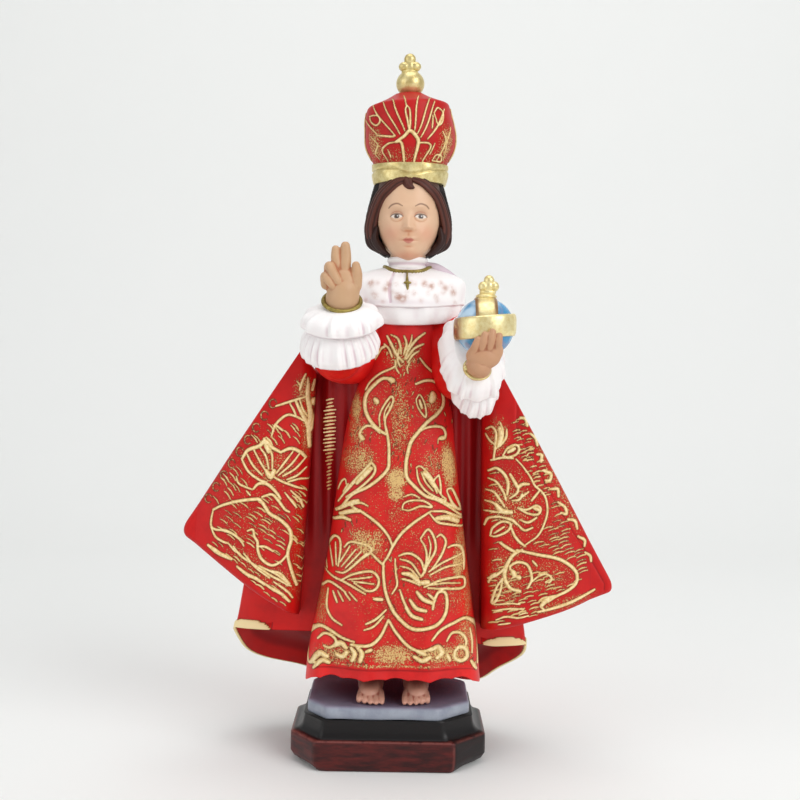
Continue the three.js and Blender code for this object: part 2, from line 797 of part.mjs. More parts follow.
function slab() {
  const round = slabThickness * 0.2;
  const top = slabBase + slabThickness;
  return stack([
    [slabBase, slabOutline(0)], [top - round, slabOutline(0)], [top, slabOutline(round)],
  ]);
}

// The cove's curve, as shares of its height and of its way in to the slab's outline
const coveProfile = [[0.1, 0.3], [0.3, 0.62], [0.6, 0.85], [0.82, 1]];

function plinth() {
  const top = plinthBlockHeight + coveHeight;
  const between = (share) => {
    const from = plinthOutline(plinthEdgeRound);
    const to = slabOutline(-coveLip);
    return from.map(([x, y], i) => [x + (to[i][0] - x) * share, y + (to[i][1] - y) * share]);
  };
  const cove = coveProfile.map(([rise, inward]) => (
    [plinthBlockHeight + coveHeight * rise, between(inward)]
  ));
  return stack([
    [0, plinthOutline(plinthFootInset)],
    [plinthBlockHeight * 0.22, plinthOutline(plinthFootInset * 0.3)],
    [plinthBlockHeight * 0.6, plinthOutline(0)],
    [plinthBlockHeight - plinthEdgeRound, plinthOutline(0)],
    [plinthBlockHeight, plinthOutline(plinthEdgeRound)],
    ...cove,
    [top, between(1)],
  ]);
}

function figure() {
  return joined([
    robe(), mantle(), wingPanel(wings.left), wingPanel(wings.right), ...sleeves(), ...cuffs(),
    ...hands(), ...orb(), ...collar(), ...face(), ...hair(), neck(), ...crown(), ...feet(), slab(),
    ...robeEmbroidery(), ...wingEmbroidery(),
  ]);
}

function mesh(name, solid, color, roughness) {
  const made = new THREE.Mesh(
    toGeometry(solid),
    new THREE.MeshStandardMaterial({ color, roughness, metalness: 0 }),
  );
  made.name = name;
  return made;
}

const statue = new THREE.Group();
statue.add(mesh('figure', figure(), 0xc2161c, 0.45));
statue.add(mesh('plinth', plinth(), 0x3a1416, 0.25));

export default statue;
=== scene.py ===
"""Painted plaster statuette of a crowned child in a spread mantle, on a lacquered plinth."""
import logging
import math
from collections.abc import Callable
from dataclasses import dataclass
from enum import Enum

import bpy
import numpy as np
from mathutils import Matrix, Vector


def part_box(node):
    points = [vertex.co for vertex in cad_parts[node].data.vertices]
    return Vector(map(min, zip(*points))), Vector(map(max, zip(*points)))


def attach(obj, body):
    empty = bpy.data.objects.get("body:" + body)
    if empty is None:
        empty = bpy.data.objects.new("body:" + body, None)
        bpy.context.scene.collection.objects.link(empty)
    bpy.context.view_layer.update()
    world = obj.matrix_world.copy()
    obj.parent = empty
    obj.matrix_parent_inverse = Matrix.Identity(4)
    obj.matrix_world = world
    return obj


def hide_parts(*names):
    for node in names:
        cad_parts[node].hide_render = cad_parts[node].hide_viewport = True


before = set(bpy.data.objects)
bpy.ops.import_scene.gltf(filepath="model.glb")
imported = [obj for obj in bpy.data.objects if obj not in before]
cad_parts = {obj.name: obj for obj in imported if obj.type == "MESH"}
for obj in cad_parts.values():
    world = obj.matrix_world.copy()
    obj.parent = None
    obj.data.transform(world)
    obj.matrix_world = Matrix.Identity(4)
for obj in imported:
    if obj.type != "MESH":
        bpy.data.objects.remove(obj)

Array = np.ndarray
Tree = bpy.types.NodeTree
Socket = bpy.types.NodeSocket
log = logging.getLogger("statuette")
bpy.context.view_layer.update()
MM = 0.001


# Sizes and smooth curves

def linear(code: str) -> tuple[float, float, float, float]:
    """Turns an sRGB hex colour to linear.

    Args:
        code: The colour, such as "C8161C".

    Returns:
        The linear colour with full alpha.
    """
    parts = [int(code[i:i + 2], 16) / 255 for i in (0, 2, 4)]
    turned = [p / 12.92 if p <= 0.04045 else ((p + 0.055) / 1.055) ** 2.4 for p in parts]
    return (turned[0], turned[1], turned[2], 1.0)


def through(keys: list, at: Array | float) -> Array:
    """Reads a smooth curve through keys.

    Args:
        keys: Pairs of place and value, in rising order.
        at: Where to read it.

    Returns:
        The values at those places.
    """
    table = np.array(keys, float)
    x, y = table[:, 0], table[:, 1]
    slopes = np.empty(len(x))
    slopes[1:-1] = (y[2:] - y[:-2]) / (x[2:] - x[:-2])
    slopes[0] = (y[1] - y[0]) / (x[1] - x[0])
    slopes[-1] = (y[-1] - y[-2]) / (x[-1] - x[-2])
    at = np.asarray(at, float)
    i = np.clip(np.searchsorted(x, at, side="right") - 1, 0, len(x) - 2)
    span = x[i + 1] - x[i]
    t = np.clip((at - x[i]) / span, 0, 1)
    u = 1 - t
    return (y[i] * (1 + 2 * t) * u * u + slopes[i] * span * t * u * u
            + y[i + 1] * t * t * (3 - 2 * t) - slopes[i + 1] * span * t * t * u)


def step(low: float, high: float, value: Array) -> Array:
    """A smooth step from 0 at low to 1 at high."""
    t = np.clip((value - low) / (high - low), 0, 1)
    return t * t * (3 - 2 * t)


def bell(x: Array, z: Array, at: tuple, spread: tuple) -> Array:
    """A soft round bump of height 1 at a point, with its two spreads."""
    return np.exp(-((x - at[0]) / spread[0]) ** 2 - ((z - at[1]) / spread[1]) ** 2)


def curve(points: list, pace: float) -> Array:
    """Runs a smooth curve through points.

    Args:
        points: Two or more points of any dimension.
        pace: The rough distance between samples.

    Returns:
        The samples along the curve.
    """
    pts = np.array(points, float)
    pts = np.vstack([2 * pts[0] - pts[1], pts, 2 * pts[-1] - pts[-2]])
    made = []
    for a, b, c, d in zip(pts[:-3], pts[1:-2], pts[2:-1], pts[3:]):
        count = max(2, int(np.ceil(np.linalg.norm(c - b) / pace)))
        t = (np.arange(count) / count)[:, None]
        made.append(0.5 * (2 * b + (c - a) * t + (2 * a - 5 * b + 4 * c - d) * t ** 2
                           + (3 * b - a - 3 * c + d) * t ** 3))
    return np.vstack(made + [pts[-2][None]])


def even(points: Array, count: int) -> Array:
    """Spaces a line's points evenly along it.

    Args:
        points: The line's points.
        count: How many points to return.

    Returns:
        The evenly spaced points, with both ends kept.
    """
    gaps = np.linalg.norm(np.diff(points, axis=0), axis=1)
    run = np.concatenate([[0], np.cumsum(gaps)])
    want = np.linspace(0, run[-1], count)
    return np.stack([np.interp(want, run, points[:, k]) for k in range(points.shape[1])], 1)


def turns(count: int) -> Array:
    """Angles spaced evenly round a full turn."""
    return np.arange(count) * 2 * math.pi / count


def skin_grid(low: float, high: float, rows: int, columns: int) -> tuple:
    """Gives the height and the angle of every point of a skin, in rows from low to high."""
    return np.meshgrid(np.linspace(low, high, rows), turns(columns), indexing="ij")


def turned_in(rings: Array, centre: tuple, lips: tuple) -> Array:
    """Turns the lower edge of a skin inwards.

    Args:
        rings: The skin, from its lower edge up.
        centre: The x and y that it turns in towards.
        lips: For each added ring, innermost first, its share of the reach and its rise.

    Returns:
        The skin with the added rings before it.
    """
    added = np.repeat(rings[:1], len(lips), axis=0)
    for ring, (share, rise) in zip(added, lips):
        ring[:, :2] = centre + (ring[:, :2] - centre) * share
        ring[:, 2] += rise
    return np.concatenate([added, rings])


def across_axis(axis: tuple) -> tuple:
    """Finds the directions that belong to an axis.

    Args:
        axis: Which way it points.

    Returns:
        Its unit way, and the two directions across it.
    """
    way = np.array(axis) / np.linalg.norm(axis)
    across = np.cross([0.0, 0.0, 1.0], way)
    across /= np.linalg.norm(across)
    return way, across, np.cross(way, across)


@dataclass(frozen=True)
class Grid:
    """The carver's grid of the figure: millimetres at the size that the cast solid has."""

    foot: float = 11.97
    tip: float = 208.36

    def metres(self, points: Array) -> Array:
        """Lays grid points over the cast solid.

        Args:
            points: Points on the carver's grid.

        Returns:
            The points in metres.
        """
        low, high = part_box("figure")
        unit = (high.z - low.z) / (self.tip - self.foot)
        placed = points * unit
        placed[:, 2] += low.z - self.foot * unit
        return placed


GRID = Grid()


class Clay:
    """The points, faces and painted masks of one piece, on the carver's grid."""

    def __init__(self) -> None:
        """Starts an empty piece."""
        self.points: list[Array] = []
        self.faces: list[Array] = []
        self.caps: list[list[int]] = []
        self.masks: list[dict[str, Array]] = []
        self.count = 0

    def loft(self, rings: Array, masks: dict[str, Array] | None = None) -> None:
        """Adds a closed skin through rings, with a flat face at each end.

        Args:
            rings: An array of rings by points by 3.
            masks: Painted amounts, an array of rings by points for each name.
        """
        rows, cols = rings.shape[:2]
        index = np.arange(rows * cols).reshape(rows, cols)
        side = np.roll(index, -1, axis=1)
        quads = np.stack([index[:-1], side[:-1], side[1:], index[1:]], -1).reshape(-1, 4)
        caps = [index[0][::-1].copy(), index[-1].copy()]
        flat = rings.reshape(-1, 3)
        a, b, c, d = (flat[quads[:, k]] for k in range(4))
        volume = np.einsum("ij,ij->i", a, np.cross(b, c) + np.cross(c, d)).sum()
        for cap in caps:
            hub = flat[cap].mean(0)
            volume += np.einsum("ij,j->i", np.cross(flat[cap], flat[np.roll(cap, -1)]), hub).sum()
        if volume < 0:
            quads = quads[:, ::-1]
            caps = [cap[::-1] for cap in caps]
        self.points.append(flat)
        self.faces.append(quads + self.count)
        self.caps += [(cap + self.count).tolist() for cap in caps]
        self.masks.append({name: m.reshape(-1) for name, m in (masks or {}).items()})
        self.count += len(flat)

    def ball(self, centre: tuple, reach: tuple, fine: int = 28) -> None:
        """Adds a round lump.

        Args:
            centre: Its middle.
            reach: Its three half sizes.
            fine: How many points go round it.
        """
        level, angle = skin_grid(-0.49, 0.49, fine // 2 + 1, fine)
        level = level * math.pi
        unit = np.stack([np.cos(level) * np.cos(angle), np.cos(level) * np.sin(angle),
                         np.sin(level)], -1)
        self.loft(np.array(centre) + unit * np.array(reach))

    def limb(self, stations: list, sides: int = 24, pace: float = 0.5, flat: float = 1.0,
             masks: dict[str, float] | None = None, groove: float = 0.0, strands: int = 5) -> None:
        """Adds a rounded limb along a smooth path.

        Args:
            stations: Points with a radius each.
            sides: How many points go round it.
            pace: The distance between rings.
            flat: How deep it is as a share of its width.
            masks: A painted amount for each name.
            groove: How deep its lengthwise grooves are, as a share of its radius.
            strands: How many grooves go round it.
        """
        path = curve(stations, pace)
        spine, radius = path[:, :3], np.maximum(path[:, 3], 0.02)
        along = np.gradient(spine, axis=0)
        along /= np.linalg.norm(along, axis=1)[:, None]
        rise = np.array([0.0, 1.0, 0.02])
        side = np.cross(rise, along)
        side /= np.linalg.norm(side, axis=1)[:, None]
        up = np.cross(along, side)
        turn = turns(sides)
        wave = 1 + groove * np.cos(strands * turn)
        dome = np.sin(np.linspace(0.12, 0.5, 5) * math.pi)[:-1]
        first, last = (
            [(spine[k] + end * along[k] * radius[k] * math.sqrt(1 - d * d), side[k], up[k],
              radius[k] * d) for d in dome[::-end]] for k, end in ((0, -1), (-1, 1)))
        rings = np.array([
            place + np.outer(np.cos(turn) * wave, across) * r
            + np.outer(np.sin(turn) * wave, over) * r * flat
            for place, across, over, r in first + list(zip(spine, side, up, radius)) + last
        ])
        paint = {name: np.full(rings.shape[:2], amount) for name, amount in (masks or {}).items()}
        self.loft(rings, paint)

    def hoop(self, rings: Array) -> None:
        """Adds a ring that closes on itself.

        Args:
            rings: An array of rings by points by 3.
        """
        index = np.arange(rings[..., 0].size).reshape(rings.shape[:2])
        ahead = np.roll(index, -1, axis=0)
        quads = np.stack([index, np.roll(index, -1, axis=1), np.roll(ahead, -1, axis=1), ahead], -1)
        self.points.append(rings.reshape(-1, 3))
        self.faces.append(quads.reshape(-1, 4)[:, ::-1] + self.count)
        self.masks.append({})
        self.count += index.size

    def piece(self, name: str) -> bpy.types.Object:
        """Makes the piece.

        Args:
            name: Its name.

        Returns:
            The object, smooth and with its masks as point attributes.
        """
        mesh = bpy.data.meshes.new(name)
        points = GRID.metres(np.vstack(self.points))
        quads = np.vstack(self.faces)
        caps = np.array([corner for cap in self.caps for corner in cap], int)
        sizes = [4] * len(quads) + [len(cap) for cap in self.caps]
        starts = np.cumsum([0] + sizes[:-1])
        corners = np.concatenate([quads.reshape(-1), caps])
        mesh.vertices.add(len(points))
        mesh.vertices.foreach_set("co", points.astype(np.float32).reshape(-1))
        mesh.loops.add(len(corners))
        mesh.loops.foreach_set("vertex_index", corners.astype(np.int32))
        mesh.polygons.add(len(starts))
        mesh.polygons.foreach_set("loop_start", starts.astype(np.int32))
        mesh.polygons.foreach_set("use_smooth", np.ones(len(starts), bool))
        mesh.update(calc_edges=True)
        mesh.validate()
        for mask in sorted({key for masks in self.masks for key in masks}):
            values = np.concatenate([
                masks.get(mask, np.zeros(len(pts))) for masks, pts in zip(self.masks, self.points)
            ])
            paint_mask(mesh, mask, values)
        made = bpy.data.objects.new(name, mesh)
        bpy.context.scene.collection.objects.link(made)
        return made


def paint_mask(mesh: bpy.types.Mesh, name: str, values: Array) -> None:
    """Keeps one painted amount for each point of a mesh."""
    layer = mesh.attributes.get(name) or mesh.attributes.new(name, "FLOAT", "POINT")
    layer.data.foreach_set("value", values.astype(np.float32))


def paint_hollows(mesh: bpy.types.Mesh, reach: int, depth: float) -> None:
    """Finds the hollows of a mesh, where the finishes lay painted shade.

    Args:
        mesh: The mesh, in metres.
        reach: How many rounds of smoothing are compared with the surface.
        depth: The depth, in millimetres, that counts as a full hollow.
    """
    count = len(mesh.vertices)
    points = np.empty(count * 3, np.float32)
    mesh.vertices.foreach_get("co", points)
    points = points.reshape(-1, 3).astype(float)
    normals = np.empty(count * 3, np.float32)
    mesh.vertices.foreach_get("normal", normals)
    ends = np.empty(len(mesh.edges) * 2, np.int32)
    mesh.edges.foreach_get("vertices", ends)
    a, b = ends.reshape(-1, 2).T
    share = np.bincount(a, minlength=count) + np.bincount(b, minlength=count)
    smooth = points
    for _ in range(reach):
        smooth = np.stack([
            (np.bincount(a, smooth[b, k], count) + np.bincount(b, smooth[a, k], count))
            / np.maximum(share, 1) for k in range(3)
        ], 1)
    lift = np.einsum("ij,ij->i", smooth - points, normals.reshape(-1, 3)) / MM
    paint_mask(mesh, "hollow", np.clip(lift / depth, -1, 1))


class Relief:
    """Raised lines and gilding, worked over points in the plane of a garment's front."""

    def __init__(self, x: Array, z: Array) -> None:
        """Starts a plain surface over points of a plane."""
        self.x, self.z = x.copy(), z.copy()
        self.height, self.gild, self.dust = (np.zeros(x.shape) for _ in range(3))

    def near(self, points: Array, margin: float) -> tuple:
        """Picks the surface points near a line.

        Args:
            points: The line's points.
            margin: How far round them to look.

        Returns:
            The indices of the surface points.
        """
        low, high = points.min(0) - margin, points.max(0) + margin
        return np.nonzero((self.x > low[0]) & (self.x < high[0])
                          & (self.z > low[1]) & (self.z < high[1]))

    def line(self, points: list, width: float, height: float, taper: float,
             gild: float = 1.0) -> None:
        """Raises and gilds one line.

        Args:
            points: The points that it runs through.
            width: Its width at the middle.
            height: Its height at the middle.
            taper: Its width at the ends, as a share.
            gild: How fully it is gilded.
        """
        path = curve(points, 0.5)
        swell = np.sin(np.linspace(0.06, 0.94, len(path)) * math.pi) ** 0.6
        share = taper + (1 - taper) * swell
        half = width / 2 * share
        pick = self.near(path, width)
        x, z = self.x[pick], self.z[pick]
        best, size = np.full(len(x), 9.0), np.ones(len(x))
        for (ax, az), (bx, bz), r, q in zip(path[:-1], path[1:], half[:-1], share[:-1]):
            dx, dz = bx - ax, bz - az
            t = np.clip(((x - ax) * dx + (z - az) * dz) / max(dx * dx + dz * dz, 1e-9), 0, 1)
            gap = np.hypot(x - ax - t * dx, z - az - t * dz) / r
            closer = gap < best
            best = np.where(closer, gap, best)
            size = np.where(closer, q, size)
        crest = height * (0.45 + 0.55 * size) * step(1.3, 0.2, best)
        self.height[pick] = np.maximum(self.height[pick], crest)
        self.gild[pick] = np.maximum(self.gild[pick], gild * step(1.85, 0.5, best))

    def draw(self, strokes: tuple, scale: float = 0.88) -> None:
        """Works rows of a width and then the points of a line, x and z in turn."""
        for width, *flat in strokes:
            self.line(np.reshape(flat, (-1, 2)), width * scale, 0.22 + 0.24 * width, 0.5)

    def sprinkle(self, ovals: tuple) -> None:
        """Dusts soft ovals with gilding.

        Args:
            ovals: For each, the x and z of its middle, its half width and half height, how dense
                it is from 0 to 1, and its turn in degrees if it leans.
        """
        for at_x, at_z, wide, tall, amount, *lean in ovals:
            turn = math.radians(sum(lean))
            c, s = math.cos(turn), math.sin(turn)
            x, z = self.x - at_x, self.z - at_z
            u, v = (x * c + z * s) / wide, (z * c - x * s) / tall
            self.dust = np.maximum(self.dust, amount * step(1.25, 0.35, np.hypot(u, v)))

    def hatch(self, corners: list, pitch: float, lean: float, length: float, width: float,
              seed: int, keep: float) -> None:
        """Fills an area with short slanting strokes, broken as a dry brush leaves them.

        Args:
            corners: The area's corners in order.
            pitch: The distance between rows.
            lean: The strokes' angle in degrees.
            length: A stroke's length.
            width: A stroke's width.
            seed: The seed of their unevenness.
            keep: The share of strokes that show.
        """
        chance = np.random.default_rng(seed)
        area = np.array(corners, float)
        low, high = area.min(0), area.max(0)
        way = np.array([math.cos(math.radians(lean)), math.sin(math.radians(lean))])
        over = np.array([-way[1], way[0]])
        middle = (low + high) / 2
        reach = np.linalg.norm(high - low) / 2
        for row in np.arange(-reach, reach, pitch):
            for place in np.arange(-reach, reach, length * 1.2):
                shift = chance.uniform(-0.35, 0.35, 2)
                at = middle + over * (row + shift[0] * pitch) + way * (place + shift[1] * length)
                show = chance.uniform() < keep
                if show and inside(area, at) and inside(area, at + way * length * 0.8):
                    bend = over * length * 0.08
                    self.line([at, at + way * length / 2 + bend, at + way * length],
                              width * chance.uniform(0.8, 1.3), 0.3, 0.3,
                              gild=chance.uniform(0.7, 1.0))


def inside(area: Array, at: Array) -> bool:
    """Tells whether a point lies inside an outline.

    Args:
        area: The outline's corners in order.
        at: The point.

    Returns:
        Whether it lies inside.
    """
    a, b = area, np.roll(area, -1, axis=0)
    cross = (a[:, 1] > at[1]) != (b[:, 1] > at[1])
    drop = np.where(cross, b[:, 1] - a[:, 1], 1.0)
    reach = (b[:, 0] - a[:, 0]) * (at[1] - a[:, 1]) / drop + a[:, 0]
    return bool(np.sum(cross & (at[0] < reach)) % 2)


def oval(angle: Array, reach: tuple, power: float, back_power: float | None = None) -> tuple:
    """A squared-off oval.

    Args:
        angle: Angles round it, with the front at three quarters of a turn.
        reach: Its half width, front reach and back reach.
        power: 2 for an ellipse, more for a squarer one.
        back_power: The power of its back half, if it differs.

    Returns:
        The x and y offsets from its centre.
    """
    c, s = np.cos(angle), np.sin(angle)
    bend = np.where((s > 0) & (back_power is not None), 2 / (back_power or power), 2 / power)
    x = np.sign(c) * np.abs(c) ** bend * reach[0]
    y = np.sign(s) * np.abs(s) ** bend * np.where(s > 0, reach[2], reach[1])
    return x, y


# Finishes

def add(tree: Tree, kind: str, links: dict | None = None, **settings: object) -> bpy.types.Node:
    """Adds one node with its settings and links.

    Args:
        tree: The node tree.
        kind: The node's type.
        links: For each input, a socket to link or a value to set.
        settings: The node's own settings.

    Returns:
        The node.
    """
    made = tree.nodes.new(kind)
    for name, value in settings.items():
        setattr(made, name, value)
    for key, value in (links or {}).items():
        if isinstance(value, Socket):
            tree.links.new(value, made.inputs[key])
        else:
            made.inputs[key].default_value = value
    return made


@dataclass(frozen=True)
class Spread:
    """Where paint lies: in a painted mask, by its name, or in blotches, by their size in mm.

    With low and high, its amount climbs smoothly from 0 to 1 between them.
    """

    source: str | float
    low: float = 0.0
    high: float = 0.0
    detail: float = 3.0
    rough: float = 0.6
    stretch: float = 1.0

    def amount(self, tree: Tree) -> Socket:
        """Adds the nodes that give how much paint lies at each point.

        Args:
            tree: The node tree.

        Returns:
            The socket that carries the amount.
        """
        if isinstance(self.source, str):
            made = add(tree, "ShaderNodeAttribute", attribute_name=self.source).outputs["Fac"]
        else:
            place = add(tree, "ShaderNodeMapping", {
                "Vector": add(tree, "ShaderNodeTexCoord").outputs["Object"],
                "Scale": (1.0, 1.0, self.stretch)}).outputs[0]
            made = add(tree, "ShaderNodeTexNoise", {
                "Vector": place, "Scale": 1 / (self.source * MM), "Detail": self.detail,
                "Roughness": self.rough}).outputs["Fac"]
        if self.high > self.low:
            made = add(tree, "ShaderNodeMapRange", {0: made, 1: self.low, 2: self.high},
                       interpolation_type="SMOOTHSTEP").outputs[0]
        return made


@dataclass(frozen=True)
class Finish:
    """A painted finish: its ground colour, the coats over it, its fine bump and its gloss.

    Each coat is a colour, its full share, and the spreads that it lies in, each given as the
    fields of a Spread. The depth of the bump is in millimetres.
    """

    name: str
    roughness: float
    ground: str
    coats: tuple
    grit: tuple = ()
    depth: float = 0.0
    metallic: float = 0.0
    specular: float = 0.5
    varnish: float = 0.0

    def material(self) -> bpy.types.Material:
        """Makes the material, once for each name.

        Returns:
            The material.
        """
        known = bpy.data.materials.get(self.name)
        if known:
            return known
        made = bpy.data.materials.new(self.name)
        made.use_nodes = True
        tree = made.node_tree
        tree.nodes.clear()
        colour = linear(self.ground)
        for over, share, *spreads in self.coats:
            first, *others = [Spread(*spread).amount(tree) for spread in spreads]
            for part in others + [share] * (share < 1):
                first = add(tree, "ShaderNodeMath", {0: first, 1: part},
                            operation="MULTIPLY").outputs[0]
            colour = add(tree, "ShaderNodeMix", {0: first, 6: colour, 7: linear(over)},
                         data_type="RGBA").outputs[2]
        colour, height = self.top(tree, colour)
        links = {"Base Color": colour, "Roughness": self.roughness, "IOR": 1.5,
                 "Metallic": self.metallic, "Specular IOR Level": self.specular,
                 "Coat Weight": self.varnish, "Coat Roughness": 0.2}
        if height:
            links["Normal"] = add(tree, "ShaderNodeBump", {
                "Height": height, "Distance": self.depth * MM}).outputs[0]
        shader = add(tree, "ShaderNodeBsdfPrincipled", links)
        add(tree, "ShaderNodeOutputMaterial", {"Surface": shader.outputs[0]})
        return made

    def top(self, tree: Tree, colour: Socket) -> tuple:
        """Ends the coats with the last colour and the height of the bump."""
        return colour, Spread(*self.grit).amount(tree) if self.grit else None


@dataclass(frozen=True)
class GiltPaint(Finish):
    """A finish whose raised embroidery is dry-brushed with pale gold.

    The gold catches only the high lines, and specks show where the brush ran dry.
    """

    gold: str = "FBE6B0"
    worn_gold: str = "DDB878"
    glaze: str = "562E12"

    def top(self, tree: Tree, colour: Socket) -> tuple:
        """Lays a dull glaze under the specks, and then the gold.

        Args:
            tree: The node tree.
            colour: The colour of the coats below.

        Returns:
            The last colour, and the height of the bump.
        """
        gild, dust, grain, fine = (Spread(*spread).amount(tree) for spread in (
            ("gild",), ("dust",), (0.4, 0, 0, 2.0, 0.7), (0.8,)))
        over, rub = (
            add(tree, "ShaderNodeMath", {0: a, 1: b, 2: c}, operation="MULTIPLY_ADD").outputs[0]
            for a, b, c in ((dust, 0.29, grain), (fine, -0.5, gild)))
        some, dull, specks, solid, bright = (
            add(tree, "ShaderNodeMapRange", {0: value, 1: low, 2: high},
                interpolation_type="SMOOTHSTEP").outputs[0]
            for value, low, high in ((dust, 0.03, 0.12), (over, 0.58, 0.68), (over, 0.63, 0.76),
                                     (rub, 0.26, 0.46), (rub, 0.6, 0.82)))
        dull, specks, half_grain = (
            add(tree, "ShaderNodeMath", {0: a, 1: b}, operation="MULTIPLY").outputs[0]
            for a, b in ((dull, some), (specks, some), (grain, 0.5)))
        dull = add(tree, "ShaderNodeMath", {0: dull, 1: 0.6}, operation="MULTIPLY").outputs[0]
        cover = add(tree, "ShaderNodeMath", {0: solid, 1: specks}, operation="MAXIMUM").outputs[0]
        height = add(tree, "ShaderNodeMath", {0: cover, 1: half_grain}, operation="ADD").outputs[0]
        glazed, gold = (
            add(tree, "ShaderNodeMix", {0: amount, 6: under, 7: linear(over)},
                data_type="RGBA").outputs[2]
            for amount, under, over in ((dull, colour, self.glaze),
                                        (bright, linear(self.worn_gold), self.gold)))
        return add(tree, "ShaderNodeMix", {0: cover, 6: glazed, 7: gold},
                   data_type="RGBA").outputs[2], height


# Crimson blotches at random, crimson painted shade in the hollows, and crimson over the deep mask.
# The brown beside the raised lines is partly a real glaze and partly their painted shadow.
SCARLET_COATS = (
    ("DC2412", 0.3, (9.0,)), ("86060E", 0.36, (5.5, 0.38, 0.8, 3.0, 0.55)),
    ("B8602A", 0.3, ("dust",)), ("86060E", 0.7, ("hollow", 0.08, 0.9)), ("86060E", 1, ("deep",)),
    ("562E12", 0.85, ("gild", 0.06, 0.45), (0.8, 0.2, 0.5)),
)


def bronze_coats(bright: str, shade: str) -> tuple:
    """Coats of bronze powder, brushed bright, with brown painted shade in the hollows and a painted
    red reflection of the robe.

    Args:
        bright: The colour where it is brushed bright.
        shade: The colour of the painted shade in the hollows.

    Returns:
        The coats.
    """
    return ((bright, 1, (1.6, 0.3, 0.7, 4.0, 0.7)), (shade, 0.85, ("hollow", 0.05, 0.8)),
            ("8A3A22", 0.85, ("stain",), (1.6, 0.2, 0.5, 4.0, 0.7)))


def flesh_coats(warm: str) -> tuple:
    """Coats of flesh paint, with warm painted shade in the hollows and the features put in by
    brush.

    Args:
        warm: The colour of random blotches and of the painted shade in the hollows.

    Returns:
        The coats.
    """
    return ((warm, 0.3, (6.0,)), (warm, 0.8, ("hollow", 0.02, 0.75)), ("DB8A70", 1, ("blush",)),
            ("9C7466", 1, ("lid",)), ("C2685E", 1, ("lip",)), ("E9E2DC", 1, ("white",)),
            ("5F4A3E", 1, ("iris",)), ("2A1A16", 1, ("dark",)), ("6B452E", 1, ("brow",)),
            # The glint is a painted highlight in each eye, and shade is painted shade where the
            # feet go under the hem.
            ("4A2A22", 1, ("hair",)), ("FFFFFF", 1, ("glint",)), ("7A3128", 1, ("shade",)))


